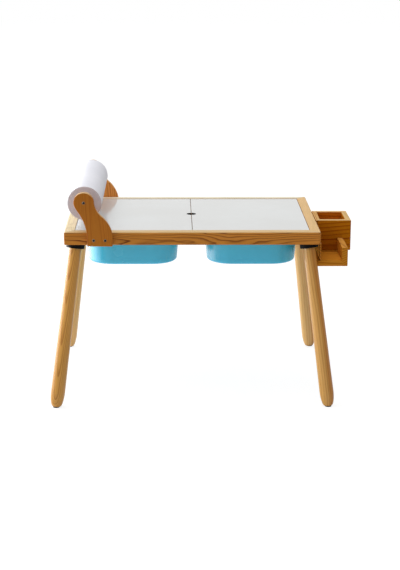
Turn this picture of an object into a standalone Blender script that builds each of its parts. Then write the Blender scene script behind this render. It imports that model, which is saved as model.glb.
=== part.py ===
"""Children's sensory table: a mitred pine frame on four splayed legs, with two lift-out bins under
two lids, a paper roll between two brackets on the left and a pencil box with a tray on the right.

Metres, +Z up, the floor at Z = 0. The table's length runs along X and its front faces -Y.
"""

import math

import bmesh
import bpy
from mathutils import Matrix, Vector

# Clearances
SEAT_GAP = 0.0003
MITRE_GAP = 0.0003
LID_CLEARANCE = 0.0008
LID_SEAM = 0.0016
BIN_CLEARANCE = 0.0015
LEDGE_SETUP = 0.0005

# Frame
TABLE_LENGTH = 0.800
TABLE_DEPTH = 0.560
TABLE_HEIGHT = 0.555
RAIL_HEIGHT = 0.041
RAIL_FACE_WIDTH = 0.032
RAIL_ROUNDING = 0.0045
REBATE_WIDTH = 0.008
LEDGE_THICKNESS = 0.012
END_LEDGE_WIDTH = 0.0195
SIDE_LEDGE_WIDTH = 0.0347
CENTRE_LEDGE_WIDTH = 0.0786
LID_BAR_WIDTH = 0.060
FINGER_POCKET_RADIUS = 0.019
FINGER_POCKET_DEPTH = 0.010
CORNER_BLOCK_LEG = 0.045
CORNER_BLOCK_HEIGHT = 0.027

# Lids
LID_THICKNESS = 0.009
LID_RECESS = 0.001
LID_EDGE_ROUNDING = 0.0008
FINGER_HOLE_RADIUS = 0.0138

# Bins
BIN_HEIGHT = 0.099
BIN_LIP = 0.0075
BIN_DRAFT = 0.0072
BIN_CORNER_RADIUS = 0.095
BIN_FLOOR_FILLET = 0.0070
BIN_WALL = 0.0025
BIN_RIM_THICKNESS = 0.003

# Legs
LEG_TOP_INSET = 0.035
FOOT_OVERHANG_X = 0.0311
FOOT_OVERHANG_Y = 0.0470
LEG_TOP_RADIUS = 0.0190
LEG_FULL_RADIUS = 0.0222
LEG_NOSE_LENGTH = 0.048
LEG_NOSE_RADIUS = 0.0105
LEG_EDGE_ROUNDING = 0.0030
PLATE_RADIUS = 0.0288
PLATE_THIN_SIDE = 0.0097
BOLT_RADIUS = 0.0040
BOLT_IN_LEG = 0.028
FOOT_PAD_RADIUS = 0.0105
FOOT_PAD_THICKNESS = 0.0035

# Roll holder
BRACKET_INSET = 0.0730
BRACKET_THICKNESS = 0.018
BRACKET_BASE_WIDTH = 0.0785
BRACKET_SHOULDER_BULGE = 0.0003
BRACKET_HEAD_RADIUS = 0.0315
BRACKET_HEAD_LEAN = 0.0090
BRACKET_HEAD_HEIGHT = 0.1375
BRACKET_ROUNDING = 0.0025
DOWEL_RADIUS = 0.008
ROLL_END_GAP = 0.0400
ROLL_RADIUS = 0.053
CORE_BORE_RADIUS = 0.0205
CORE_WALL = 0.0025
ROLL_SLID_SHARE = 0.05

# Screws
SCREW_HEAD_RADIUS = 0.0046
SCREW_HEAD_DEPTH = 0.0030
SCREW_SHANK_RADIUS = 0.0021
SCREW_LENGTH = 0.036
SCREW_SOCKET_RADIUS = 0.0020
SCREW_SOCKET_DEPTH = 0.0018
BRACKET_SCREW_INSET_LEFT = 0.0205
BRACKET_SCREW_INSET_RIGHT = 0.0225
BRACKET_SCREW_HEIGHT = 0.0190

# Pencil box and tray
SIDE_BOARD_THICKNESS = 0.0045
TRAY_SETBACK = 0.030
TRAY_DEPTH = 0.143
TRAY_FLOOR_WIDTH = 0.070
TRAY_FLOOR_THICKNESS = 0.018
TRAY_FLOOR_REACH = 0.0060
TRAY_WALL_THICKNESS = 0.0185
TRAY_WALL_HEIGHT = 0.042
TRAY_DROP = 0.058
SIDE_BOARD_STEP = 0.002
BOX_LENGTH = 0.1093
BOX_DEPTH = 0.149
BOX_WALL = 0.0180
BOX_INNER_WALL = 0.0100
BOX_BOTTOM_THICKNESS = 0.008
BOARD_ROUNDING = 0.0020
SIDE_BOARD_ROUNDING = 0.0010
HOLDER_SCREW_SPACING = 0.085
HOLDER_SCREW_DROP = 0.020

# Roundness of the turned and bent shapes
ROLL_STEPS = 64
LEG_STEPS = 32
SMALL_STEPS = 20
CORNER_STEPS = 7
NOSE_STEPS = 8

# Places that follow from the sizes
HALF_LENGTH = TABLE_LENGTH / 2
HALF_DEPTH = TABLE_DEPTH / 2
RAIL_BOTTOM = TABLE_HEIGHT - RAIL_HEIGHT
RAIL_WIDTH = RAIL_FACE_WIDTH + REBATE_WIDTH
INNER_X = HALF_LENGTH - RAIL_WIDTH
INNER_Y = HALF_DEPTH - RAIL_WIDTH
LID_TOP = TABLE_HEIGHT - LID_RECESS
LID_BOTTOM = LID_TOP - LID_THICKNESS
REBATE_FLOOR = LID_BOTTOM - SEAT_GAP
LEDGE_BOTTOM = RAIL_BOTTOM + LEDGE_SETUP
LEDGE_TOP = LEDGE_BOTTOM + LEDGE_THICKNESS
LEDGE_EDGE_X = INNER_X - SEAT_GAP - END_LEDGE_WIDTH
LEDGE_EDGE_Y = INNER_Y - SEAT_GAP - SIDE_LEDGE_WIDTH
CENTRE_LEDGE_HALF = CENTRE_LEDGE_WIDTH / 2
BIN_X = (LEDGE_EDGE_X + CENTRE_LEDGE_HALF) / 2
BIN_BODY_HALF_X = (LEDGE_EDGE_X - CENTRE_LEDGE_HALF) / 2 - BIN_CLEARANCE
BIN_BODY_HALF_Y = LEDGE_EDGE_Y - BIN_CLEARANCE
BIN_RIM_HALF_X = BIN_BODY_HALF_X + BIN_LIP
BIN_RIM_HALF_Y = BIN_BODY_HALF_Y + BIN_LIP
BIN_RIM_UNDERSIDE = LEDGE_TOP + SEAT_GAP
BIN_RIM_TOP = BIN_RIM_UNDERSIDE + BIN_RIM_THICKNESS
BRACKET_X = -HALF_LENGTH + BRACKET_INSET
DOWEL_X = BRACKET_X - BRACKET_HEAD_LEAN
DOWEL_Z = RAIL_BOTTOM + BRACKET_HEAD_HEIGHT
ROLL_Z = DOWEL_Z - (CORE_BORE_RADIUS - DOWEL_RADIUS - SEAT_GAP)
ROLL_LENGTH = (HALF_DEPTH + SEAT_GAP - ROLL_END_GAP) * 2
ROLL_Y = -ROLL_END_GAP * ROLL_SLID_SHARE
SIDE_BOARD_X = HALF_LENGTH + SEAT_GAP
BOX_LEFT_X = SIDE_BOARD_X + SIDE_BOARD_THICKNESS + SEAT_GAP
TRAY_FRONT_Y = -HALF_DEPTH + TRAY_SETBACK
BOX_FRONT_Y = TRAY_FRONT_Y + TRAY_DEPTH
BOX_BACK_Y = BOX_FRONT_Y + BOX_DEPTH
TRAY_FLOOR_TOP = RAIL_BOTTOM - TRAY_DROP
TRAY_FLOOR_BOTTOM = TRAY_FLOOR_TOP - TRAY_FLOOR_THICKNESS


# Scene and materials
def clear_scene():
    """Remove every object of the open file."""
    for item in list(bpy.data.objects):
        bpy.data.objects.remove(item, do_unlink=True)


def make_collection(name):
    """Make a collection and link it to the scene."""
    group = bpy.data.collections.new(name)
    bpy.context.scene.collection.children.link(group)
    return group


def make_material(name, colour, roughness, metallic=0.0):
    """Make a Principled BSDF material from linear colour, roughness and metallic values."""
    material = bpy.data.materials.new(name)
    material.use_nodes = True
    shader = material.node_tree.nodes["Principled BSDF"]
    shader.inputs["Base Color"].default_value = (*colour, 1.0)
    shader.inputs["Roughness"].default_value = roughness
    shader.inputs["Metallic"].default_value = metallic
    return material


clear_scene()
PARTS = make_collection("sensory_table")
CUTTERS = make_collection("cutters")
PINE = make_material("golden_pine", (0.42, 0.21, 0.07), 0.5)
PALE_PINE = make_material("pale_pine", (0.62, 0.42, 0.20), 0.55)
DARK_PINE = make_material("dark_pine", (0.30, 0.12, 0.03), 0.5)
LAMINATE = make_material("white_laminate", (0.80, 0.80, 0.78), 0.2)
BLUE_PLASTIC = make_material("blue_plastic", (0.08, 0.36, 0.50), 0.35)
BLACK_PLASTIC = make_material("black_plastic", (0.012, 0.012, 0.012), 0.4)
STEEL = make_material("steel", (0.45, 0.45, 0.44), 0.35, 1.0)
PAPER = make_material("paper", (0.86, 0.86, 0.88), 0.8)
CARDBOARD = make_material("cardboard", (0.45, 0.32, 0.20), 0.85)
RUBBER = make_material("rubber", (0.03, 0.025, 0.02), 0.7)


# Empties that carry the parts
def make_empty(name, location, parent=None):
    """Make an empty whose origin is a joint axis or a reference point, in table coordinates."""
    empty = bpy.data.objects.new(name, None)
    empty.empty_display_size = DOWEL_RADIUS
    PARTS.objects.link(empty)
    empty.parent = parent
    base = Vector(parent["table_place"]) if parent else Vector((0, 0, 0))
    empty.location = Vector(location) - base
    empty["table_place"] = list(location)
    return empty


TABLE = make_empty("table_reference", (0, 0, 0))


def place(item, location, parent=None, rotation=None):
    """Put an object at a point given in table coordinates, under a parent empty."""
    parent = parent or TABLE
    item.parent = parent
    item.location = Vector(location) - Vector(parent["table_place"])
    if rotation is not None:
        item.rotation_euler = rotation.to_euler()
    return item


def add_part(name, mesh, material, location, parent=None, rotation=None):
    """Add one named sub-part with its own material."""
    item = bpy.data.objects.new(name, mesh)
    mesh.materials.append(material)
    PARTS.objects.link(item)
    return place(item, location, parent, rotation)


def add_cutter(name, mesh, location, parent=None, rotation=None):
    """Add a guide shape for a Boolean, shown as wire and left out of the model."""
    item = bpy.data.objects.new(name, mesh)
    item.display_type = "WIRE"
    item.hide_render = True
    CUTTERS.objects.link(item)
    return place(item, location, parent, rotation)


# Modifiers
def bevel(item, width, segments=2, angle=50):
    """Round the edges that are sharper than an angle."""
    modifier = item.modifiers.new("rounded_edges", "BEVEL")
    modifier.width = width
    modifier.segments = segments
    modifier.limit_method = "ANGLE"
    modifier.angle_limit = math.radians(angle)
    return item


def boolean(item, cutter, operation="DIFFERENCE"):
    """Cut, or keep the part shared with, another shape."""
    modifier = item.modifiers.new(operation.lower() + "_" + cutter.name, "BOOLEAN")
    modifier.operation = operation
    modifier.solver = "EXACT"
    modifier.object = cutter
    return item


# Basic shapes
def box_mesh(name, size):
    """A box of the given size, centred on its origin."""
    shape = bmesh.new()
    bmesh.ops.create_cube(shape, size=1.0)
    bmesh.ops.scale(shape, vec=size, verts=shape.verts)
    mesh = bpy.data.meshes.new(name)
    shape.to_mesh(mesh)
    shape.free()
    return mesh


def cylinder_mesh(name, radius, length, steps=SMALL_STEPS):
    """A closed cylinder along Z, centred on its origin."""
    shape = bmesh.new()
    bmesh.ops.create_cone(
        shape, cap_ends=True, segments=steps, radius1=radius, radius2=radius, depth=length
    )
    mesh = bpy.data.meshes.new(name)
    shape.to_mesh(mesh)
    shape.free()
    mesh.shade_smooth()
    mesh.set_sharp_from_angle(angle=math.radians(40))
    return mesh


def board(name, low, high, material, parent=None, rounding=BOARD_ROUNDING):
    """A board between two corners given in table coordinates, with rounded edges."""
    low, high = Vector(low), Vector(high)
    item = add_part(name, box_mesh(name, high - low), material, (low + high) / 2, parent)
    return bevel(item, rounding) if rounding else item


def box_cutter(name, low, high, parent=None):
    """A box-shaped cutter between two corners given in table coordinates."""
    low, high = Vector(low), Vector(high)
    return add_cutter(name, box_mesh(name, high - low), (low + high) / 2, parent)


def turned(name, profile, steps):
    """Give an object's mesh and Screw modifier for a profile of (radius, height) points."""
    shape = bmesh.new()
    points = [shape.verts.new((radius, 0, height)) for radius, height in profile]
    for first, second in zip(points, points[1:]):
        shape.edges.new((first, second))
    if profile[0][0] > 0:
        shape.edges.new((points[-1], points[0]))
    mesh = bpy.data.meshes.new(name)
    shape.to_mesh(mesh)
    shape.free()

    def finish(item):
        modifier = item.modifiers.new("turned", "SCREW")
        modifier.steps = steps
        modifier.render_steps = steps
        modifier.use_merge_vertices = True
        modifier.merge_threshold = 0.00001
        modifier.use_smooth_shade = True
        return item

    return mesh, finish


def outline_mesh(name, spline_kind, points, thickness, rounding=0.0):
    """A flat plate from a closed outline in the local XY plane, as a welded mesh.

    A point is (x, y) for straight corners, or (x, y, handle_x, handle_y, back, ahead) for a smooth
    point with its tangent direction and the length of each handle.
    """
    curve = bpy.data.curves.new(name, "CURVE")
    curve.dimensions = "2D"
    curve.fill_mode = "BOTH"
    curve.extrude = thickness / 2 - rounding
    curve.bevel_depth = rounding
    curve.bevel_resolution = 1
    curve.offset = -rounding
    curve.resolution_u = CORNER_STEPS
    spline = curve.splines.new(spline_kind)
    spline.use_cyclic_u = True
    if spline_kind == "POLY":
        spline.points.add(len(points) - 1)
        for knot, (x, y) in zip(spline.points, points):
            knot.co = (x, y, 0, 1)
    else:
        spline.bezier_points.add(len(points) - 1)
        for knot, (x, y, along_x, along_y, back, ahead) in zip(spline.bezier_points, points):
            here = Vector((x, y, 0))
            along = Vector((along_x, along_y, 0)).normalized()
            knot.handle_left_type = "FREE"
            knot.handle_right_type = "FREE"
            knot.co = here
            knot.handle_left = here - along * back
            knot.handle_right = here + along * ahead
    holder = bpy.data.objects.new(name + "_outline", curve)
    bpy.context.scene.collection.objects.link(holder)
    bpy.context.view_layer.update()
    evaluated = holder.evaluated_get(bpy.context.evaluated_depsgraph_get())
    mesh = bpy.data.meshes.new_from_object(evaluated)
    mesh.transform(holder.matrix_world)
    mesh.name = name
    mesh.materials.clear()
    bpy.data.objects.remove(holder, do_unlink=True)
    shape = bmesh.new()
    shape.from_mesh(mesh)
    bmesh.ops.remove_doubles(shape, verts=shape.verts, dist=0.00002)
    bmesh.ops.dissolve_limit(shape, angle_limit=0.0005, verts=shape.verts[:], edges=shape.edges[:])
    bmesh.ops.recalc_face_normals(shape, faces=shape.faces)
    shape.to_mesh(mesh)
    shape.free()
    return mesh


# Screws
def screw_profile(length, slack=0.0):
    """Half section of a countersunk screw, its face at Z = 0 and its tip below."""
    head = SCREW_HEAD_RADIUS + slack
    shank = SCREW_SHANK_RADIUS + slack
    tip = -length - slack
    face = [(0, -SCREW_SOCKET_DEPTH), (SCREW_SOCKET_RADIUS, -SCREW_SOCKET_DEPTH), (SCREW_SOCKET_RADIUS, 0)]
    if slack:
        face = [(0, SEAT_GAP), (head, SEAT_GAP)]
    return face + [
        (head, 0),
        (head, -SCREW_HEAD_DEPTH * 0.15 - slack),
        (shank, -SCREW_HEAD_DEPTH - slack),
        (shank, tip + SCREW_SHANK_RADIUS * 2),
        (0, tip),
    ]


def screw_turn(direction):
    """Rotation that points a screw's head along a direction."""
    return Vector(direction).to_track_quat("Z", "Y").to_matrix()


def screw(name, location, direction, length=SCREW_LENGTH):
    """A countersunk screw whose head faces a direction, and the pocket that it needs."""
    mesh, finish = turned(name, screw_profile(length), SMALL_STEPS)
    item = finish(add_part(name, mesh, STEEL, location, rotation=screw_turn(direction)))
    mesh, finish = turned(name + "_pocket", screw_profile(length, SEAT_GAP), SMALL_STEPS)
    pocket = add_cutter(name + "_pocket", mesh, location, rotation=screw_turn(direction))
    finish(pocket)
    return item, pocket


# Frame of four mitred rails
def frame_rail(name, turn, half_run, half_other):
    """One rail: the rounded outer block, less the opening and the rebate, cut at its mitres."""
    rail = add_part(
        name,
        box_mesh(name, (TABLE_LENGTH, TABLE_DEPTH, RAIL_HEIGHT)),
        PINE,
        (0, 0, RAIL_BOTTOM + RAIL_HEIGHT / 2),
    )
    bevel(rail, RAIL_ROUNDING, segments=3)
    boolean(rail, OPENING)
    boolean(rail, REBATE)
    reach = RAIL_WIDTH * 1.5
    margin = RAIL_WIDTH
    outer = half_other + margin
    corners = [
        (-half_run - margin, -outer),
        (half_run + margin, -outer),
        (half_run - reach, -half_other + reach),
        (-half_run + reach, -half_other + reach),
    ]
    shift = MITRE_GAP / math.sqrt(2)
    mesh = outline_mesh(
        name + "_sector", "POLY", [(x, y - shift) for x, y in corners], RAIL_HEIGHT * 2
    )
    sector = add_cutter(
        name + "_sector",
        mesh,
        (0, 0, RAIL_BOTTOM + RAIL_HEIGHT / 2),
        rotation=Matrix.Rotation(turn, 3, "Z"),
    )
    return boolean(rail, sector, "INTERSECT")


OPENING = box_cutter(
    "frame_opening",
    (-INNER_X, -INNER_Y, RAIL_BOTTOM - RAIL_HEIGHT),
    (INNER_X, INNER_Y, TABLE_HEIGHT + RAIL_HEIGHT),
)
REBATE = box_cutter(
    "lid_rebate",
    (-INNER_X - REBATE_WIDTH, -INNER_Y - REBATE_WIDTH, REBATE_FLOOR),
    (INNER_X + REBATE_WIDTH, INNER_Y + REBATE_WIDTH, TABLE_HEIGHT + RAIL_HEIGHT),
)
FRONT_RAIL = frame_rail("front_rail", 0, HALF_LENGTH, HALF_DEPTH)
BACK_RAIL = frame_rail("back_rail", math.pi, HALF_LENGTH, HALF_DEPTH)
LEFT_RAIL = frame_rail("left_rail", -math.pi / 2, HALF_DEPTH, HALF_LENGTH)
RIGHT_RAIL = frame_rail("right_rail", math.pi / 2, HALF_DEPTH, HALF_LENGTH)


# Ledges that carry the bins' rims, and the bar that carries the lids' inner edges
def build_ledges():
    """Five ledge boards inside the frame, level with each other, and the lid bar on top."""
    end_x = INNER_X - CORNER_BLOCK_LEG - SEAT_GAP
    end_y = INNER_Y - CORNER_BLOCK_LEG - SEAT_GAP
    low_z, high_z = LEDGE_BOTTOM, LEDGE_TOP
    wall_x = INNER_X - SEAT_GAP
    wall_y = INNER_Y - SEAT_GAP
    board("right_ledge", (LEDGE_EDGE_X, -end_y, low_z), (wall_x, end_y, high_z), PALE_PINE, rounding=0)
    board("left_ledge", (-wall_x, -end_y, low_z), (-LEDGE_EDGE_X, end_y, high_z), PALE_PINE, rounding=0)
    board("back_ledge", (-end_x, LEDGE_EDGE_Y, low_z), (end_x, wall_y, high_z), PALE_PINE, rounding=0)
    board("front_ledge", (-end_x, -wall_y, low_z), (end_x, -LEDGE_EDGE_Y, high_z), PALE_PINE, rounding=0)
    centre_y = LEDGE_EDGE_Y - SEAT_GAP
    board(
        "centre_ledge",
        (-CENTRE_LEDGE_HALF, -centre_y, low_z),
        (CENTRE_LEDGE_HALF, centre_y, high_z),
        PALE_PINE,
        rounding=0,
    )
    bar = board(
        "lid_support_bar",
        (-LID_BAR_WIDTH / 2, -wall_y, high_z + SEAT_GAP),
        (LID_BAR_WIDTH / 2, wall_y, REBATE_FLOOR),
        PALE_PINE,
        rounding=0,
    )
    pocket = add_cutter(
        "finger_pocket",
        cylinder_mesh("finger_pocket", FINGER_POCKET_RADIUS, FINGER_POCKET_DEPTH * 2, LEG_STEPS),
        (0, 0, REBATE_FLOOR),
    )
    boolean(bar, pocket)


def build_corner_blocks():
    """A triangular glue block in each corner of the frame."""
    for side_y, row in ((-1, "front"), (1, "back")):
        for side_x, column in ((-1, "left"), (1, "right")):
            corner_x = side_x * (INNER_X - SEAT_GAP)
            corner_y = side_y * (INNER_Y - SEAT_GAP)
            leg = CORNER_BLOCK_LEG - SEAT_GAP * 2
            outline = [(0, 0), (-side_x * leg, 0), (0, -side_y * leg)]
            name = "corner_block_" + row + "_" + column
            mesh = outline_mesh(name, "POLY", outline, CORNER_BLOCK_HEIGHT)
            centre_z = LEDGE_BOTTOM + CORNER_BLOCK_HEIGHT / 2
            add_part(name, mesh, PALE_PINE, (corner_x, corner_y, centre_z))


# Bins
def rounded_rectangle(half_x, half_y, radius, steps):
    """Points of a rectangle with rounded corners, anticlockwise from the right-hand side."""
    points = []
    for quarter in range(4):
        sign_x = 1 if quarter in (0, 3) else -1
        sign_y = 1 if quarter in (0, 1) else -1
        centre = (sign_x * (half_x - radius), sign_y * (half_y - radius))
        for step in range(steps + 1):
            angle = math.pi / 2 * (quarter + step / steps)
            points.append((centre[0] + radius * math.cos(angle), centre[1] + radius * math.sin(angle)))
    return points


def bin_rings():
    """Inner surface of a bin as (inset from the rim's outer edge, height) pairs, rim first."""
    rim_top = BIN_RIM_THICKNESS
    floor = BIN_RIM_THICKNESS - BIN_HEIGHT + BIN_WALL
    wall_top = BIN_LIP + BIN_WALL
    wall_foot = wall_top + BIN_DRAFT
    rings = [(BIN_RIM_THICKNESS * 0.35, rim_top), (wall_top - BIN_WALL * 0.6, rim_top), (wall_top, 0.0)]
    fillet = BIN_FLOOR_FILLET
    for step in range(CORNER_STEPS - 2):
        angle = math.pi / 2 * step / (CORNER_STEPS - 3)
        inset = wall_foot + fillet * (1 - math.cos(angle))
        rings.append((inset, floor + fillet * (1 - math.sin(angle))))
    return rings


def outer_rings():
    """Outer surface of a bin from the underside of its rim down to its floor."""
    floor = BIN_RIM_THICKNESS - BIN_HEIGHT
    fillet = BIN_FLOOR_FILLET + BIN_WALL
    wall_foot = BIN_LIP + BIN_DRAFT
    rings = [(0.0, BIN_RIM_THICKNESS * 0.65), (0.0, 0.0), (BIN_LIP, 0.0)]
    for step in range(CORNER_STEPS - 2):
        angle = math.pi / 2 * step / (CORNER_STEPS - 3)
        inset = wall_foot + fillet * (1 - math.cos(angle))
        rings.append((inset, floor + fillet * (1 - math.sin(angle))))
    return rings


def bin_mesh(name):
    """A drafted tub with rounded corners, a filleted floor and a flat rim, origin at its seat."""
    shape = bmesh.new()

    def loop(inset, height):
        radius = max(BIN_CORNER_RADIUS - inset, BIN_CORNER_RADIUS * 0.4)
        outline = rounded_rectangle(BIN_RIM_HALF_X - inset, BIN_RIM_HALF_Y - inset, radius, CORNER_STEPS)
        return [shape.verts.new((x, y, height)) for x, y in outline]

    rings = [loop(*ring) for ring in reversed(bin_rings())] + [loop(*ring) for ring in outer_rings()]
    count = len(rings[0])
    for upper, lower in zip(rings, rings[1:]):
        for index in range(count):
            following = (index + 1) % count
            shape.faces.new((upper[index], lower[index], lower[following], upper[following]))
    shape.faces.new(rings[0])
    shape.faces.new(list(reversed(rings[-1])))
    bmesh.ops.recalc_face_normals(shape, faces=shape.faces)
    mesh = bpy.data.meshes.new(name)
    shape.to_mesh(mesh)
    shape.free()
    mesh.shade_smooth()
    mesh.set_sharp_from_angle(angle=math.radians(35))
    return mesh


def build_bins():
    """The two bins, each hung by its rim, with its empty at the seat of the rim."""
    seats = {}
    for side, column in ((-1, "left"), (1, "right")):
        seat = make_empty(column + "_bin_seat", (side * BIN_X, 0, BIN_RIM_UNDERSIDE), TABLE)
        name = column + "_bin"
        add_part(name, bin_mesh(name), BLUE_PLASTIC, (side * BIN_X, 0, BIN_RIM_UNDERSIDE), seat)
        seats[column] = seat
    return seats


# Lids
def build_lids(seats):
    """Two lids that meet at the middle, each with half of the finger hole."""
    outer = HALF_LENGTH - RAIL_FACE_WIDTH - LID_CLEARANCE
    half_y = HALF_DEPTH - RAIL_FACE_WIDTH - LID_CLEARANCE
    for side, column in ((-1, "left"), (1, "right")):
        hinge = make_empty(column + "_lid_edge", (side * outer, 0, LID_TOP), seats[column])
        edges = sorted((side * outer, side * LID_SEAM / 2))
        name = column + "_lid"
        lid = board(
            name, (edges[0], -half_y, LID_BOTTOM), (edges[1], half_y, LID_TOP), LAMINATE, hinge, 0
        )
        hole = add_cutter(
            column + "_finger_hole",
            cylinder_mesh(column + "_finger_hole", FINGER_HOLE_RADIUS, LID_THICKNESS * 3, LEG_STEPS),
            (0, 0, (LID_TOP + LID_BOTTOM) / 2),
            hinge,
        )
        boolean(lid, hole)
        bevel(lid, LID_EDGE_ROUNDING, segments=2, angle=60)


# Paper roll on its dowel between two brackets
def bracket_outline():
    """The S-shaped bracket as smooth points, seen from the front, origin at its lower left."""
    lean, height, radius = -BRACKET_HEAD_LEAN, BRACKET_HEAD_HEIGHT, BRACKET_HEAD_RADIUS
    width, bulge = BRACKET_BASE_WIDTH, BRACKET_SHOULDER_BULGE
    round_handle = radius * 0.5523
    corner = BRACKET_ROUNDING
    straight = height * 0.21
    return [
        (corner, 0, 1, 0, corner * 0.5, corner),
        (width - corner, 0, 1, 0, corner, corner * 0.5),
        (width, corner, 0, 1, corner * 0.5, corner),
        (width + bulge, straight, 0, 1, corner * 2, height * 0.165),
        (width * 0.595, height * 0.68, -0.76, 0.65, height * 0.16, height * 0.116),
        (lean + radius, height, 0, 1, height * 0.13, round_handle),
        (lean, height + radius, -1, 0, round_handle, round_handle),
        (lean - radius, height, 0, -1, round_handle, height * 0.10),
        (lean * 2.27, height * 0.71, 0.5, -0.865, height * 0.10, height * 0.175),
        (0, straight, 0, -1, height * 0.16, corner * 2),
        (0, corner, 0, -1, corner, corner * 0.5),
    ]


def build_roll_holder():
    """Brackets on the outer faces of the front and back rails, and the dowel between them."""
    to_front = Matrix.Rotation(math.pi / 2, 3, "X")
    for side, row, rail in ((-1, "front", FRONT_RAIL), (1, "back", BACK_RAIL)):
        name = row + "_roll_bracket"
        face_y = side * (HALF_DEPTH + SEAT_GAP)
        middle_y = face_y + side * BRACKET_THICKNESS / 2
        mesh = outline_mesh(name, "BEZIER", bracket_outline(), BRACKET_THICKNESS, BRACKET_ROUNDING)
        bracket = add_part(name, mesh, PINE, (BRACKET_X, middle_y, RAIL_BOTTOM), rotation=to_front)
        head_y = face_y + side * BRACKET_THICKNESS
        places = {
            "bracket_screw_" + row + "_left": (
                BRACKET_X + BRACKET_SCREW_INSET_LEFT,
                RAIL_BOTTOM + BRACKET_SCREW_HEIGHT,
            ),
            "bracket_screw_" + row + "_right": (
                BRACKET_X + BRACKET_BASE_WIDTH - BRACKET_SCREW_INSET_RIGHT,
                RAIL_BOTTOM + BRACKET_SCREW_HEIGHT,
            ),
            "dowel_screw_" + row: (DOWEL_X, DOWEL_Z),
        }
        for screw_name, (x, z) in places.items():
            item, pocket = screw(screw_name, (x, head_y, z), (0, side, 0))
            boolean(bracket, pocket)
            if screw_name.startswith("bracket"):
                boolean(rail, pocket)


def build_roll():
    """The dowel, and the paper on its cardboard core hanging from it."""
    lay_down = Matrix.Rotation(math.pi / 2, 3, "X")
    half = HALF_DEPTH
    bore = SCREW_SHANK_RADIUS + SEAT_GAP
    depth = SCREW_LENGTH - BRACKET_THICKNESS + SEAT_GAP * 2
    mesh, finish = turned(
        "roll_dowel",
        [
            (0, half - depth),
            (bore, half - depth),
            (bore, half),
            (DOWEL_RADIUS, half),
            (DOWEL_RADIUS, -half),
            (bore, -half),
            (bore, -half + depth),
            (0, -half + depth),
        ],
        SMALL_STEPS,
    )
    finish(add_part("roll_dowel", mesh, PALE_PINE, (DOWEL_X, 0, DOWEL_Z), rotation=lay_down))
    axis = make_empty("roll_axis", (DOWEL_X, ROLL_Y, ROLL_Z), TABLE)
    core_outer = CORE_BORE_RADIUS + CORE_WALL
    for name, inner, outer, material in (
        ("roll_core", CORE_BORE_RADIUS, core_outer, CARDBOARD),
        ("paper_roll", core_outer + SEAT_GAP, ROLL_RADIUS, PAPER),
    ):
        half_roll = ROLL_LENGTH / 2
        profile = [(inner, half_roll), (outer, half_roll), (outer, -half_roll), (inner, -half_roll)]
        mesh, finish = turned(name, profile, ROLL_STEPS)
        finish(add_part(name, mesh, material, (DOWEL_X, ROLL_Y, ROLL_Z), axis, lay_down))


# Pencil box and tray on the right-hand rail
def build_side_board():
    """The thin stepped board between the rail and the box, which closes the tray's inner side."""
    seat = TRAY_FLOOR_TOP + SEAT_GAP
    step_z = RAIL_BOTTOM - SIDE_BOARD_STEP
    outline = [
        (TRAY_FRONT_Y, seat),
        (BOX_BACK_Y, seat),
        (BOX_BACK_Y, TABLE_HEIGHT),
        (BOX_FRONT_Y, TABLE_HEIGHT),
        (BOX_FRONT_Y, step_z),
        (TRAY_FRONT_Y, step_z),
    ]
    mesh = outline_mesh("holder_side_board", "POLY", outline, SIDE_BOARD_THICKNESS)
    upright = Matrix(((0, 0, 1), (1, 0, 0), (0, 1, 0)))
    middle_x = SIDE_BOARD_X + SIDE_BOARD_THICKNESS / 2
    side_board = add_part("holder_side_board", mesh, PINE, (middle_x, 0, 0), rotation=upright)
    return bevel(side_board, SIDE_BOARD_ROUNDING)


def build_box():
    """The open box, level with the tabletop, on the tray's floor."""
    right = SIDE_BOARD_X + SIDE_BOARD_THICKNESS + BOX_LENGTH
    seat = TRAY_FLOOR_TOP + SEAT_GAP
    top = TABLE_HEIGHT
    board(
        "pencil_box_front",
        (BOX_LEFT_X, BOX_FRONT_Y, seat),
        (right, BOX_FRONT_Y + BOX_WALL, top),
        DARK_PINE,
    )
    board("pencil_box_back", (BOX_LEFT_X, BOX_BACK_Y - BOX_WALL, seat), (right, BOX_BACK_Y, top), DARK_PINE)
    inner_front = BOX_FRONT_Y + BOX_WALL + SEAT_GAP
    inner_back = BOX_BACK_Y - BOX_WALL - SEAT_GAP
    inner_left = BOX_LEFT_X + BOX_INNER_WALL
    board("pencil_box_end", (right - BOX_WALL, inner_front, seat), (right, inner_back, top), DARK_PINE)
    board(
        "pencil_box_bottom",
        (inner_left + SEAT_GAP, inner_front, seat),
        (right - BOX_WALL - SEAT_GAP, inner_back, seat + BOX_BOTTOM_THICKNESS),
        PALE_PINE,
        rounding=0,
    )
    return board(
        "pencil_box_inner_end", (BOX_LEFT_X, inner_front, seat), (inner_left, inner_back, top), DARK_PINE
    )


def build_tray():
    """The tray's floor, which runs on beneath the box and a little under the rail, and its wall."""
    floor_right = SIDE_BOARD_X + TRAY_FLOOR_WIDTH
    board(
        "tray_floor",
        (SIDE_BOARD_X - TRAY_FLOOR_REACH, TRAY_FRONT_Y, TRAY_FLOOR_BOTTOM),
        (floor_right, BOX_BACK_Y, TRAY_FLOOR_TOP),
        PINE,
    )
    board(
        "tray_wall",
        (floor_right + SEAT_GAP, TRAY_FRONT_Y, TRAY_FLOOR_BOTTOM),
        (
            floor_right + SEAT_GAP + TRAY_WALL_THICKNESS,
            BOX_FRONT_Y - SEAT_GAP,
            TRAY_FLOOR_TOP + TRAY_WALL_HEIGHT,
        ),
        PINE,
    )


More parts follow.
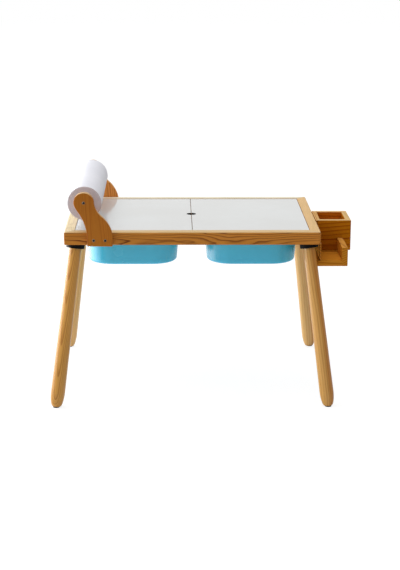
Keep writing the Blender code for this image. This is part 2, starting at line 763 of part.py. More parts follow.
def screw_holder_on(side_board, inner_end):
    """Two screws from inside the box, through its inner end and the side board, into the rail."""
    middle_y = (BOX_FRONT_Y + BOX_BACK_Y) / 2
    head_x = BOX_LEFT_X + BOX_INNER_WALL
    for side, row in ((-1, "front"), (1, "back")):
        spot = (head_x, middle_y + side * HOLDER_SCREW_SPACING / 2, TABLE_HEIGHT - HOLDER_SCREW_DROP)
        item, pocket = screw("holder_screw_" + row, spot, (1, 0, 0))
        for pierced in (inner_end, side_board, RIGHT_RAIL):
            boolean(pierced, pocket)


# Legs
def leg_profile(length):
    """Half section of a leg from its bolt hole round to its nose, top at Z = 0."""
    bore = BOLT_RADIUS + SEAT_GAP
    depth = BOLT_IN_LEG + SEAT_GAP
    edge = LEG_EDGE_ROUNDING
    profile = [(0, -depth), (bore, -depth), (bore, 0), (LEG_TOP_RADIUS - edge, 0), (LEG_TOP_RADIUS, -edge)]
    for step in range(NOSE_STEPS + 1):
        angle = math.pi / 2 * step / NOSE_STEPS
        radius = LEG_NOSE_RADIUS + (LEG_FULL_RADIUS - LEG_NOSE_RADIUS) * math.cos(angle)
        profile.append((radius, -length + LEG_NOSE_LENGTH * (1 - math.sin(angle))))
    profile.append((0, -length))
    return profile


def build_leg(side_x, side_y, place_name):
    """One splayed leg with its wedge plate, hanger bolt and foot pad."""
    top = Vector(
        (side_x * (HALF_LENGTH - LEG_TOP_INSET), side_y * (HALF_DEPTH - LEG_TOP_INSET), RAIL_BOTTOM)
    )
    foot = Vector((side_x * (HALF_LENGTH + FOOT_OVERHANG_X), side_y * (HALF_DEPTH + FOOT_OVERHANG_Y), 0))
    up = (top - foot).normalized()
    lean = math.acos(up.z)
    turn = up.to_track_quat("Z", "Y").to_matrix()
    plate_depth = (PLATE_THIN_SIDE + PLATE_RADIUS * math.sin(lean)) / math.cos(lean)
    plate_top = RAIL_BOTTOM - SEAT_GAP

    plate_name = "leg_plate_" + place_name
    spare = PLATE_RADIUS
    plate_length = plate_depth + spare
    plate = add_part(
        plate_name,
        cylinder_mesh(plate_name, PLATE_RADIUS, plate_length, LEG_STEPS),
        BLACK_PLASTIC,
        top + up * (spare - plate_depth) / 2,
        rotation=turn,
    )
    reach = PLATE_RADIUS * 2
    above = box_cutter(
        plate_name + "_above",
        (top.x - reach, top.y - reach, plate_top),
        (top.x + reach, top.y + reach, plate_top + reach),
    )
    boolean(plate, above)
    bolt_hole = add_cutter(
        plate_name + "_bolt_hole",
        cylinder_mesh(plate_name + "_bolt_hole", BOLT_RADIUS + SEAT_GAP, plate_length * 2),
        top,
        rotation=turn,
    )
    boolean(plate, bolt_hole)

    shoulder = top - up * (plate_depth + SEAT_GAP)
    sole = FOOT_PAD_THICKNESS + SEAT_GAP
    cut_depth = LEG_NOSE_RADIUS * math.sin(lean) + SEAT_GAP
    length = (shoulder.z - sole + cut_depth) / up.z
    leg_name = "leg_" + place_name
    mesh, finish = turned(leg_name, leg_profile(length), LEG_STEPS)
    leg = finish(add_part(leg_name, mesh, PINE, shoulder, rotation=turn))
    reach = LEG_FULL_RADIUS * 2
    floor = box_cutter(
        leg_name + "_sole_cut",
        (foot.x - reach, foot.y - reach, sole - reach),
        (foot.x + reach, foot.y + reach, sole),
    )
    boolean(leg, floor)

    bolt_name = "leg_bolt_" + place_name
    bolt_top = plate_depth - BOLT_RADIUS * math.sin(lean) - SEAT_GAP * 2
    bolt_length = bolt_top + SEAT_GAP + BOLT_IN_LEG
    add_part(
        bolt_name,
        cylinder_mesh(bolt_name, BOLT_RADIUS, bolt_length),
        STEEL,
        shoulder + up * (bolt_top + SEAT_GAP - BOLT_IN_LEG) / 2,
        rotation=turn,
    )

    pad_name = "foot_pad_" + place_name
    axis_at_sole = foot + up * (sole / up.z)
    pad = add_part(
        pad_name,
        cylinder_mesh(pad_name, FOOT_PAD_RADIUS, FOOT_PAD_THICKNESS, LEG_STEPS),
        RUBBER,
        (axis_at_sole.x, axis_at_sole.y, FOOT_PAD_THICKNESS / 2),
    )
    return pad


def build_legs():
    """The four legs."""
    for side_y, row in ((-1, "front"), (1, "back")):
        for side_x, column in ((-1, "left"), (1, "right")):
            build_leg(side_x, side_y, row + "_" + column)


# The reference point is the middle of the whole object's footprint, on the floor
def centre_on_footprint():
    """Move the table so that the origin is under the middle of everything it carries."""
    bpy.context.view_layer.update()
    graph = bpy.context.evaluated_depsgraph_get()
    low, high = Vector((1e9, 1e9, 1e9)), Vector((-1e9, -1e9, -1e9))
    for item in PARTS.objects:
        if item.type != "MESH":
            continue
        shape = item.evaluated_get(graph)
        for vertex in shape.data.vertices:
            point = shape.matrix_world @ vertex.co
            low = Vector(map(min, low, point))
            high = Vector(map(max, high, point))
    TABLE.location.x = -(low.x + high.x) / 2
    TABLE.location.y = -(low.y + high.y) / 2
    print("table reference moved by", [round(value, 5) for value in TABLE.location])
    print("overall size", [round(value, 4) for value in high - low])
    bpy.context.view_layer.update()


build_ledges()
build_corner_blocks()
BIN_SEATS = build_bins()
build_lids(BIN_SEATS)
build_roll_holder()
build_roll()
screw_holder_on(build_side_board(), build_box())
build_tray()
build_legs()
centre_on_footprint()
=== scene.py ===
# %% [markdown]
# # A children's sensory table
# The real table is a mitred pine frame on four splayed legs. Two blue bins hang in it under two
# white lids, a paper roll hangs between two brackets on the left, and a pencil box with a tray is
# screwed to the right. Here the imported CAD model gives every size and place, and this lesson gives
# each piece its finish: grain that runs the way the board was sawn, eased edges, screws with a
# recess, and paper that shows its windings.

# %% Load the imported model
import math

import bmesh
import bpy
from mathutils import Matrix, Vector


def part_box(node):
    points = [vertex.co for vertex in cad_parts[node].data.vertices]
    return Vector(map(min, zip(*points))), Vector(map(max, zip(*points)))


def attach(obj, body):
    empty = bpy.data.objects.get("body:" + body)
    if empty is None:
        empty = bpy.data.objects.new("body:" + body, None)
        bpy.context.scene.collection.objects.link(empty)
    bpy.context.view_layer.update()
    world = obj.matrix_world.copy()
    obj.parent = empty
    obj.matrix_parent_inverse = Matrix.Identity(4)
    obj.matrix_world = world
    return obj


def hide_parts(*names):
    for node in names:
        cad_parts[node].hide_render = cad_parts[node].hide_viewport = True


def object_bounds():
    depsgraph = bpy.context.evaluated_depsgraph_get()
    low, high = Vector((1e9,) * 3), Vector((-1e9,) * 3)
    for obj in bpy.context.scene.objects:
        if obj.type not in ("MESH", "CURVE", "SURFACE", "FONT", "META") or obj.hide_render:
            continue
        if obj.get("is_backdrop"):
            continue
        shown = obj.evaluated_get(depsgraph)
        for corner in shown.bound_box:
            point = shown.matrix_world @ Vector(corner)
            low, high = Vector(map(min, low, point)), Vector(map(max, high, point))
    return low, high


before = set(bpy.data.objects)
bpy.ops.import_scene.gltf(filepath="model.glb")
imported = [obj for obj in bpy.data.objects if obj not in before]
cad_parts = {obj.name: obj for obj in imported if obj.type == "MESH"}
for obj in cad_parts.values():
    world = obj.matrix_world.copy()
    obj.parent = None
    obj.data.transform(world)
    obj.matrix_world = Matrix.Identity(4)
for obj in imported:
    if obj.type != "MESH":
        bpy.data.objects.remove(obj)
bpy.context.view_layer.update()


# %% [markdown]
# ## Where the table is
# The rails' outer faces are the table's edges, so their boxes give the table's own centre. The
# legs, the roll and the camera are all placed from it. Reading the places from the model, instead
# of typing them, keeps every piece on what carries it. Two small helpers go with this, because most
# steps below need the middle of a node's box, or a new object in the scene.

# %% Centre and edges of the tabletop
TABLE_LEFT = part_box("left_rail")[0].x
TABLE_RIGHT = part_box("right_rail")[1].x
TABLE_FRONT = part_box("front_rail")[0].y
TABLE_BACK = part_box("back_rail")[1].y
RAIL_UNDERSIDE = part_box("front_rail")[0].z
TABLE_MIDDLE = Vector(((TABLE_LEFT + TABLE_RIGHT) / 2, (TABLE_FRONT + TABLE_BACK) / 2, 0))


def box_centre(node):
    """The middle of a node's box."""
    low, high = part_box(node)
    return (low + high) / 2


def linked(name, data):
    """A new object in the scene's own collection."""
    made = bpy.data.objects.new(name, data)
    bpy.context.scene.collection.objects.link(made)
    return made


print("tabletop", round(TABLE_RIGHT - TABLE_LEFT, 4), "by", round(TABLE_BACK - TABLE_FRONT, 4))


# %% [markdown]
# ## Camera
# The photograph was taken from in front, a little to the left and well above the tabletop, with a
# long lens. The place, the angles and the focal length come from fitting a camera to the corners
# of the frame, the feet and the bins. They are given from the table's centre. The picture is 400
# by 570, so its long side is the height, and the sensor's 36 mm belong to that side.

# %% Camera at the photograph's place
CAMERA_PLACE = Vector((-0.0741, -4.7648, 1.5696))
CAMERA_YAW = -0.02172
CAMERA_PITCH = -0.2580
CAMERA_ROLL = 0.00354
PICTURE_HEIGHT = 570
SENSOR_SIDE = 36.0
FOCAL_PIXELS = 1480.14


def add_camera():
    """Put the camera where the photograph was taken and make it the scene's camera."""
    data = bpy.data.cameras.new("camera")
    data.sensor_width = SENSOR_SIDE
    data.lens = FOCAL_PIXELS / PICTURE_HEIGHT * SENSOR_SIDE
    camera = linked("camera", data)
    turn = (
        Matrix.Rotation(CAMERA_YAW, 4, "Z")
        @ Matrix.Rotation(math.pi / 2 + CAMERA_PITCH, 4, "X")
        @ Matrix.Rotation(CAMERA_ROLL, 4, "Z")
    )
    camera.matrix_world = Matrix.Translation(TABLE_MIDDLE + CAMERA_PLACE) @ turn
    bpy.context.scene.camera = camera
    return camera


CAMERA = add_camera()
print("lens", round(CAMERA.data.lens, 2), "mm")


# %% [markdown]
# ## Node trees as sums
# A grain pattern is a sum: a distance from the heart of the log, divided by the width of a ring,
# plus a wander. Written as nodes and links it can't be read, so a small class wraps a socket, and
# a sum of two wires adds the Math node. Every other node comes from one method, which takes the
# node's type, its settings and the values or links of its sockets.

# %% A socket that can be used in a sum
class Wire:
    """An output socket of a node tree that takes part in arithmetic."""

    def __init__(self, tree, socket=None):
        self.tree = tree
        self.socket = socket

    def node(self, kind, settings=None, inputs=None, output=0):
        """Add a node: its settings first, then each input's value or link by its identifier."""
        made = self.tree.nodes.new(kind)
        for name, value in (settings or {}).items():
            if name == "stops":
                set_stops(made.color_ramp, value)
            else:
                setattr(made, name, value)
        sockets = {socket.identifier: socket for socket in made.inputs}
        for name, value in (inputs or {}).items():
            if isinstance(value, Wire):
                self.tree.links.new(value.socket, sockets[name])
            else:
                sockets[name].default_value = value
        outputs = {socket.identifier: socket for socket in made.outputs}
        chosen = outputs[output] if isinstance(output, str) else made.outputs[output]
        return Wire(self.tree, chosen)

    def math(self, operation, *values):
        """Add a Math node whose inputs are this wire and the values."""
        names = ("Value", "Value_001", "Value_002")
        return self.node("ShaderNodeMath", {"operation": operation}, dict(zip(names, values)))

    def __add__(self, other):
        return self.math("ADD", self, other)

    def __radd__(self, other):
        return self.math("ADD", other, self)

    def __sub__(self, other):
        return self.math("SUBTRACT", self, other)

    def __rsub__(self, other):
        return self.math("SUBTRACT", other, self)

    def __mul__(self, other):
        return self.math("MULTIPLY", self, other)

    def __truediv__(self, other):
        return self.math("DIVIDE", self, other)

    def __pow__(self, other):
        return self.math("POWER", self, other)

    def __lt__(self, other):
        return self.math("LESS_THAN", self, other)

    def at_least(self, lowest):
        """This wire, or the lowest value where the wire is below it."""
        return self.math("MAXIMUM", self, lowest)

    def at_most(self, highest):
        """This wire, or the highest value where the wire is above it."""
        return self.math("MINIMUM", self, highest)

    def stretch(self, scale):
        """This vector, with each of its parts multiplied."""
        names = {"Vector": self, "Vector_001": scale}
        return self.node("ShaderNodeVectorMath", {"operation": "MULTIPLY"}, names)

    def noise(self, scale, detail=2.0, roughness=0.5):
        """Smooth noise over this vector, from about 0.3 to 0.7."""
        values = {"Vector": self.stretch(scale), "Scale": 1.0}
        values |= {"Detail": detail, "Roughness": roughness}
        return self.node("ShaderNodeTexNoise", None, values)

    def mix(self, first, second):
        """Colour that goes from the first to the second as this wire goes from 0 to 1."""
        values = {"Factor_Float": self, "A_Color": first, "B_Color": second}
        return self.node("ShaderNodeMix", {"data_type": "RGBA"}, values, "Result_Color")

    def tint(self, share, other):
        """This colour, multiplied by another by a share from 0 to 1."""
        settings = {"data_type": "RGBA", "blend_type": "MULTIPLY"}
        values = {"Factor_Float": share, "A_Color": self, "B_Color": other}
        return self.node("ShaderNodeMix", settings, values, "Result_Color")

    def fit(self, low, high, new_low=0.0, new_high=1.0):
        """This wire's range from low to high, brought to a new range and held inside it."""
        values = {"Value": self, "From Min": low, "From Max": high}
        values |= {"To Min": new_low, "To Max": new_high}
        return self.node("ShaderNodeMapRange", {"interpolation_type": "SMOOTHSTEP"}, values)


def set_stops(ramp, stops):
    """Give a colour ramp its stops in order, each a place and a grey level."""
    for place, level in stops[1:-1]:
        ramp.elements.new(place)
    for element, (place, level) in zip(ramp.elements, stops):
        element.position = place
        element.color = (level, level, level, 1.0)


# %% [markdown]
# ## A finish and its shader
# Each finish starts from a Principled BSDF, with the numbers that are the same all over set on the
# shader's own sockets. What changes over the surface is linked afterwards. Patterns read Object
# coordinates: every piece stays at the origin, so a pattern lies in the table's own metres.

# %% Start a finish
def linear(red, green, blue):
    """A colour from screen values of 0 to 255, as the linear colour that a shader needs."""
    parts = [value / 255 for value in (red, green, blue)]
    return (*[p / 12.92 if p <= 0.04045 else ((p + 0.055) / 1.055) ** 2.4 for p in parts], 1.0)


def start_finish(name, **constants):
    """A new material with constant shader values, and the wire of its Object coordinates."""
    material = bpy.data.materials.new(name)
    material.use_nodes = True
    shader = material.node_tree.nodes["Principled BSDF"]
    for key, value in constants.items():
        shader.inputs[key.replace("_", " ")].default_value = value
    wire = Wire(material.node_tree)
    return material, shader, wire.node("ShaderNodeTexCoord", output="Object")


def end_finish(material, shader, colour, roughness, height, strength, distance):
    """Link the colour, the roughness and a bump from a height to the shader."""
    links = material.node_tree.links
    links.new(colour.socket, shader.inputs["Base Color"])
    links.new(roughness.socket, shader.inputs["Roughness"])
    values = {"Strength": strength, "Distance": distance, "Height": height}
    bump = height.node("ShaderNodeBump", None, values)
    links.new(bump.socket, shader.inputs["Normal"])
    return material


# %% [markdown]
# ## Varnished pine
# A pine board is a slice of a log. Each year adds a ring that is pale and wide in spring, then
# dark and narrow, with a sharp outer edge. A flat-sawn face cuts the rings at a low angle, which
# gives the long flames of the front rail. So the pattern is made as the tree made it: a distance
# from the heart of the log, with a slow wander along the grain. One board's faces and end grain
# then agree with each other, which a picture wrapped round the board would not do. The middle of
# the log is heartwood, darker and redder than the sapwood round it, so a finish can be given a
# core and its reach. Upper faces get painted top light: a share of a pale tone goes over the
# grain where a face points up, and round the arrises above it, to stand for light from above.

# %% Rings round a log's heart
EARLY_YEAR = ((0.0, 0.30), (0.06, 0.10), (0.40, 0.06), (0.68, 0.34))
LATE_YEAR = ((0.86, 0.95), (0.97, 1.0), (1.0, 0.30))
SLOW_WANDER = (1.7, 9.0, 9.0)
QUICK_WANDER = (6.0, 26.0, 26.0)
QUICK_SHARE = 0.22
WEAKEST_RING = 0.55


def rings_of(log, ring, wander):
    """How dark the grain is, from pale spring wood at 0 to late wood at 1, and the radius."""
    parts = log.node("ShaderNodeSeparateXYZ", None, {"Vector": log})
    across, height = [Wire(log.tree, socket) for socket in parts.socket.node.outputs][1:]
    slow = log.noise(SLOW_WANDER, 1.0)
    quick = log.noise(QUICK_WANDER, 2.0)
    radius = (across * across + height * height) ** 0.5
    radius = radius + (slow - 0.5) * wander + (quick - 0.5) * (wander * QUICK_SHARE)
    turns = radius / ring
    year = turns.math("FRACT", turns)
    late = year.node("ShaderNodeValToRGB", {"stops": EARLY_YEAR + LATE_YEAR}, {"Fac": year})
    whole = turns.math("FLOOR", turns)
    settings = {"noise_dimensions": "1D"}
    strong = whole.node("ShaderNodeTexWhiteNoise", settings, {"W": whole}, "Value")
    return late * (WEAKEST_RING + strong * (1 - WEAKEST_RING)), radius


# %% Pine and its painted top light
# Painted top light: the pale tone laid over upward faces, standing for light from above.
TOP_LIGHT_TONE = linear(226, 196, 146)
FIBRE_SCALE = (9.0, 620.0, 620.0)
BLOTCH_SCALE = (4.0, 15.0, 15.0)
CORE_FADES_FROM = 0.72
CORE_SHARE = 0.85
SAPWOOD_LINES = 0.6
TOP_LIGHT_FACING = (0.25, 0.95)
LATE_WOOD_KEPT = 0.22
FIBRE_LEVELS = (0.52, 1.12)
FIBRE_SHARE = 0.5
BLOTCHES_IN_SHEEN = 0.25
RINGS_IN_SHEEN = 0.06
PINE_BUMP = 0.12
PINE_RELIEF = 0.0004


def pine(
    name,
    along,
    heart,
    pale,
    dark,
    ring=0.0080,
    wander=0.030,
    streak=0.22,
    painted_top_light=0.0,
    top_light_tone=TOP_LIGHT_TONE,
    core=None,
    core_reach=0.0,
    dull=0.46,
    shine=0.12,
):
    """Pine with its grain along a direction, from a log whose heart passes through a point."""
    material, shader, place = start_finish(name, Specular_IOR_Level=shine)
    turn = Vector(along).to_track_quat("X", "Z").to_euler()
    settings = {"vector_type": "TEXTURE"}
    values = {"Vector": place, "Location": heart, "Rotation": turn}
    log = place.node("ShaderNodeMapping", settings, values)
    late, radius = rings_of(log, ring, wander)
    fibre = log.noise(FIBRE_SCALE, 3.0, 0.65)
    blotch = log.noise(BLOTCH_SCALE, 2.0)
    colour = late.mix(pale, dark)
    if core:
        inside = radius.fit(core_reach * CORE_FADES_FROM, core_reach, 1.0, 0.0)
        sapwood = (late * SAPWOOD_LINES).mix(pale, dark)
        colour = (inside * CORE_SHARE).mix(sapwood, late.mix(core, dark))
    # Painted top light: faces that point up are painted towards a pale tone, most where they point
    # straight up.
    if painted_top_light:
        facing = place.node("ShaderNodeNewGeometry", output="Normal")
        upward = facing.node("ShaderNodeSeparateXYZ", None, {"Vector": facing}, "Z")
        top_lit = upward.fit(*TOP_LIGHT_FACING, 0.0, painted_top_light)
        colour = (top_lit * (1 - late * LATE_WOOD_KEPT)).mix(colour, top_light_tone)
    grain = 0.5 + (fibre - 0.5) * streak * 4.0 + (blotch - 0.5) * streak * 2.0
    grain = grain.fit(0.0, 1.0, *FIBRE_LEVELS)
    grey = grain.node("ShaderNodeCombineXYZ", None, {"X": grain, "Y": grain, "Z": grain * grain})
    colour = colour.tint(FIBRE_SHARE, grey)
    roughness = dull + (blotch - 0.5) * BLOTCHES_IN_SHEEN - late * RINGS_IN_SHEEN
    relief = fibre * 0.5 + late * 0.5
    return end_finish(material, shader, colour, roughness, relief, PINE_BUMP, PINE_RELIEF)


# %% [markdown]
# ## Laminate, plastic, paper and steel
# The lids are thin board with a gloss white laminate, which still shows a faint orange peel. The
# bins are injection-moulded, with a fine spark texture. Paper has soft fibres and its cut end is
# greyer than its face. Zinc-plated steel is smeared and scratched. Each finish mixes two close
# colours by a noise of the right scale, and lets the same noise move its roughness.

# %% Finishes without grain
FINE_RELIEF = 0.0002


def each_way(scale):
    """A scale for the three directions, from one number or from three."""
    return scale if isinstance(scale, tuple) else (scale, scale, scale)


def mottled(name, tones, patches, roughness, spread, bump, fine, **constants):
    """Two close tones in soft patches, with a fine bump."""
    material, shader, place = start_finish(name, **constants)
    patch = place.noise(each_way(patches), 3.0)
    texture = place.noise(each_way(fine), 2.0)
    colour = patch.fit(0.3, 0.7).mix(*[linear(*tone) for tone in tones])
    rough = roughness + (patch - 0.5) * spread
    return end_finish(material, shader, colour, rough, texture, bump, FINE_RELIEF)


LAMINATE_TONES = (210, 211, 209), (214, 216, 215)
BAND_TONES = (196, 194, 188), (204, 202, 196)
RAW_EDGE_SHADE_TONES = (10, 6, 3), (18, 11, 6)
BIN_TONES = (60, 194, 234), (64, 198, 238)
PLATE_TONES = (8, 8, 9), (13, 13, 13)
PAD_TONES = (46, 33, 24), (64, 48, 36)
STEEL_TONES = (168, 160, 144), (132, 127, 116)
RECESS_SHADE_TONES = (14, 13, 12), (22, 20, 18)
PAPER_TONES = (224, 224, 231), (228, 228, 234)
CUT_TONES = (216, 208, 212), (224, 217, 222)
BOARD_TONES = (150, 132, 112), (170, 152, 130)
BIN_SHINE = {"Specular_IOR_Level": 0.7}
PLATE_SHINE = {"Specular_IOR_Level": 0.10}

LAMINATE = mottled("gloss_white_laminate", LAMINATE_TONES, 5, 0.13, 0.08, 0.03, 420)
EDGE_BAND = mottled("white_edge_band", BAND_TONES, (60, 60, 9), 0.3, 0.1, 0.05, 900)
# Raw board edge darkened to near black: painted shade inside the finger hole.
RAW_EDGE_AND_SHADE = mottled("raw_board_edge", RAW_EDGE_SHADE_TONES, (500, 500, 90), 0.85, 0.1, 0.3, 1500)
BIN_PLASTIC = mottled("blue_bin_plastic", BIN_TONES, 12, 0.26, 0.1, 0.06, 1700, **BIN_SHINE)
PLATE_PLASTIC = mottled(
    "black_plate_plastic", PLATE_TONES, 60, 0.5, 0.2, 0.15, 1500, **PLATE_SHINE
)
PAD_RUBBER = mottled("foot_pad_rubber", PAD_TONES, 300, 0.9, 0.1, 0.6, 2200)
SCREW_STEEL = mottled("zinc_screw_steel", STEEL_TONES, 700, 0.45, 0.3, 0.1, 2500, Metallic=1.0)
# Near-black recess: painted shade inside the screw's hexagon socket.
RECESS_PAINTED_SHADE = mottled("screw_recess", RECESS_SHADE_TONES, 900, 0.8, 0.2, 0.1, 2500)
PAPER = mottled("white_roll_paper", PAPER_TONES, 9, 0.78, 0.1, 0.06, 700)
PAPER_END = mottled("cut_paper_end", CUT_TONES, (30, 6, 30), 0.9, 0.05, 0.3, (1800, 60, 1800))
CARDBOARD = mottled(
    "grey_core_board", BOARD_TONES, (70, 20, 70), 0.9, 0.05, 0.4, (900, 300, 900)
)
print("finishes without grain, from", LAMINATE.name, "to", CARDBOARD.name)


# %% [markdown]
# ## Making a piece
# The imported nodes are loose flat triangles, which is right for a frame but not for a surface that
# catches light. Where the shape itself is right, a copy is merged, its arrises are eased with a
# small bevel and its curves are shaded smooth. The copy then stands for the node. Every piece is
# added by one function, which gives it its finish, its body and the nodes it stands for.

# %% Add pieces and finish copies of nodes
SAME_POINT = 0.000002
FLAT_WITHIN = 0.4
ARRIS_STEPS = 3
ARRIS_ANGLE = 50


def add_piece(name, mesh, finishes, body, slot, *nodes):
    """Add a mesh in the table's own coordinates as a piece that rides on a body."""
    mesh.name = name
    chosen = [face.material_index for face in mesh.polygons]
    mesh.materials.clear()
    for finish in finishes:
        mesh.materials.append(finish)
    mesh.polygons.foreach_set("material_index", chosen)
    piece = linked(name, mesh)
    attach(piece, body)
    if nodes:
        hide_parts(*nodes)
    return piece


def smooth(mesh, angle):
    """Shade a mesh smooth except across edges sharper than an angle in degrees."""
    mesh.shade_smooth()
    mesh.set_sharp_from_angle(angle=math.radians(angle))
    return mesh


def level(mesh, angle=60):
    """Shade smooth with normals weighted by area, so that large faces stay flat to the light."""
    holder = linked("level", smooth(mesh, angle))
    weighted = holder.modifiers.new("level", "WEIGHTED_NORMAL")
    weighted.mode = "FACE_AREA"
    weighted.weight = 100
    weighted.keep_sharp = True
    return baked(holder)


def baked(piece):
    """The mesh that a temporary object has with its modifiers, and the object is removed."""
    bpy.context.view_layer.update()
    graph = bpy.context.evaluated_depsgraph_get()
    mesh = bpy.data.meshes.new_from_object(piece.evaluated_get(graph), depsgraph=graph)
    mesh.transform(piece.matrix_world)
    bpy.data.objects.remove(piece, do_unlink=True)
    return mesh


def opened(mesh):
    """A mesh opened for work on its points and faces."""
    shape = bmesh.new()
    shape.from_mesh(mesh)
    return shape


def written(shape, mesh, outwards=True):
    """Write a worked shape into a mesh, with its faces turned outwards if that is asked."""
    if outwards:
        bmesh.ops.recalc_face_normals(shape, faces=shape.faces)
    shape.to_mesh(mesh)
    shape.free()
    return mesh


def merged_copy(node):
    """A node's mesh with its triangles joined and its flat faces made whole."""
    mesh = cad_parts[node].data.copy()
    for layer in ("custom_normal", "sharp_edge", "sharp_face"):
        if layer in mesh.attributes:
            mesh.attributes.remove(mesh.attributes[layer])
    shape = opened(mesh)
    flat = math.radians(FLAT_WITHIN)
    bmesh.ops.remove_doubles(shape, verts=shape.verts, dist=SAME_POINT)
    bmesh.ops.dissolve_limit(shape, angle_limit=flat, verts=shape.verts, edges=shape.edges)
    return written(shape, mesh, outwards=False)


def eased(mesh, width):
    """A mesh with its sharp edges rounded."""
    holder = linked("eased", mesh)
    bevel = holder.modifiers.new("eased", "BEVEL")
    bevel.width = width
    bevel.segments = ARRIS_STEPS
    bevel.limit_method = "ANGLE"
    bevel.angle_limit = math.radians(ARRIS_ANGLE)
    return baked(holder)


def dress(node, finishes, slot, arris=0.0, angle=32):
    """Stand a finished copy in for one of the table's fixed nodes."""
    mesh = merged_copy(node)
    if arris:
        mesh = eased(mesh, arris)
    return add_piece(node + "_finished", level(mesh, angle), finishes, "table", slot, node)


# %% [markdown]
# ## Frame rails
# The four rails come from different boards, so each has its own log: its heart lies behind the
# face that shows, and a little below or above it. The grain runs along the rail, so the side rails
# turn it by a quarter. The tops are much paler than the fronts in the photograph, more than light
# alone would make them, so each rail also has a share of painted top light and its own pale tone.

# %% Tones of the pine
PALE = linear(214, 139, 56)
AMBER = linear(96, 36, 4)
HONEY = linear(221, 162, 78)
# Heartwood tone, also used as painted shade on the right side of the right legs.
HEARTWOOD_AND_SHADE = linear(204, 134, 46)
STRAW = linear(244, 194, 126)
STRAW_DARK = linear(222, 150, 78)
WHEAT = linear(230, 174, 92)
WHEAT_DARK = linear(172, 96, 24)
EMBER = linear(136, 54, 1)
RUST = linear(200, 121, 20)
RUST_DARK = linear(144, 64, 5)
CHERRY = linear(228, 128, 24)
CHERRY_DARK = linear(172, 78, 8)
GINGER = linear(212, 140, 46)
GINGER_DARK = linear(156, 86, 16)
TOFFEE = linear(190, 117, 38)
TOFFEE_DARK = linear(170, 94, 22)
# Painted light: the back bracket's pale tones stand for light bounced onto it from the lids and the
# roll.
BOUNCE_LIT_PINE = linear(242, 164, 88)
BOUNCE_LIT_PINE_DARK = linear(176, 84, 26)

# %% Rails
RAILS = {
    "front_rail": ((1, 0, 0.012), (0.02, TABLE_FRONT + 0.050, RAIL_UNDERSIDE + 0.006)),
    "back_rail": ((1, 0, 0), (0.30, TABLE_BACK - 0.045, RAIL_UNDERSIDE - 0.030)),
    "left_rail": ((0, 1, 0), (TABLE_LEFT + 0.024, 0.10, RAIL_UNDERSIDE - 0.040)),
    "right_rail": ((0.03, 1, 0), (TABLE_RIGHT - 0.075, -0.25, RAIL_UNDERSIDE - 0.010)),
}
# Painted top light: how much of a pale tone goes on each rail's upper faces, and that tone.
RAIL_TOP_LIGHT = {
    "front_rail": (0.85, TOP_LIGHT_TONE),
    "back_rail": (1.0, linear(240, 232, 212)),
    "left_rail": (1.0, linear(244, 224, 188)),
    "right_rail": (0.78, linear(236, 202, 146)),
}
for rail, (along, heart) in RAILS.items():
    painted_top_light, top_light_tone = RAIL_TOP_LIGHT[rail]
    top_light = {"painted_top_light": painted_top_light, "top_light_tone": top_light_tone, "streak": 0.34}
    finish = pine("pine_" + rail, along, heart, PALE, AMBER, ring=0.0026, wander=0.042, **top_light)
    dress(rail, [finish], "golden_pine", angle=40)
print("rails", len(RAILS))


# %% [markdown]
# ## Boards inside the frame
# Ledges carry the bins' rims, a bar carries the lids' inner edges, and corner blocks stiffen the
# mitres. They are seen from below or with a bin lifted out. They are planed but not varnished, so
# they are paler and duller, with sawn arrises that are only just broken.

# %% Ledges, lid bar and corner blocks
HEART_BESIDE_BOARD = Vector((0.013, 0.017, -0.045))
BOARDS = {
    "front_ledge": (1, 0, 0),
    "back_ledge": (1, 0, 0),
    "left_ledge": (0, 1, 0),
    "right_ledge": (0, 1, 0),
    "centre_ledge": (0, 1, 0),
    "lid_support_bar": (0, 1, 0),
    "corner_block_front_left": (1, 1, 0),
    "corner_block_front_right": (1, -1, 0),
    "corner_block_back_left": (1, -1, 0),
    "corner_block_back_right": (1, 1, 0),
    "pencil_box_bottom": (1, 0, 0),
}
for board, along in BOARDS.items():
    heart = box_centre(board) + HEART_BESIDE_BOARD
    finish = pine("pine_" + board, along, heart, STRAW, STRAW_DARK, dull=0.62)
    dress(board, [finish], "pale_pine", arris=0.0006)
print("inner boards", len(BOARDS))


# %% [markdown]
# ## Lids
# Each lid is a thin board faced with laminate above and below, with a white edge band. The finger
# hole is drilled after the band is on, so its wall shows the raw board, darkened to near black as
# painted shade inside the hole. One mesh with three finishes keeps this right: the finish of a face
# follows from which way it points and whether it lies on the hole's wall.

# %% Lids with their edges
LID_HOLE_REACH = 0.0147
LID_HOLE_ROUTED = 0.0010
LID_SEAM_BAND = 0.002
LID_FACES, LID_EDGES, LID_HOLE_WALL = range(3)


def is_on_hole_wall(face, centre):
    """Whether a face lies on the round wall of the finger hole."""
    middle = face.calc_center_median()
    away = (Vector((middle.x, middle.y)) - Vector((centre.x, centre.y))).length
    return away < LID_HOLE_REACH and abs(face.normal.z) < 0.98


for lid in ("left_lid", "right_lid"):
    mesh = merged_copy(lid)
    shape = opened(mesh)
    shape.normal_update()
    routed = set()
    for face in shape.faces:
        if is_on_hole_wall(face, TABLE_MIDDLE):
            routed.update(face.verts)
            face.material_index = LID_HOLE_WALL
        elif abs(face.normal.z) < 0.5:
            face.material_index = LID_EDGES
        else:
            face.material_index = LID_FACES
    for vertex in routed:
        away = Vector((vertex.co.x - TABLE_MIDDLE.x, vertex.co.y - TABLE_MIDDLE.y, 0))
        away.x = 0 if abs(away.x) < LID_SEAM_BAND else away.x
        vertex.co += away.normalized() * LID_HOLE_ROUTED
    mesh = written(shape, mesh, outwards=False)
    walls = [face for face in mesh.polygons if face.material_index == LID_HOLE_WALL]
    print(lid, "hole wall faces", len(walls))
    finishes = [LAMINATE, EDGE_BAND, RAW_EDGE_AND_SHADE]
    add_piece(lid + "_finished", level(mesh), finishes, lid, "white_laminate", lid)


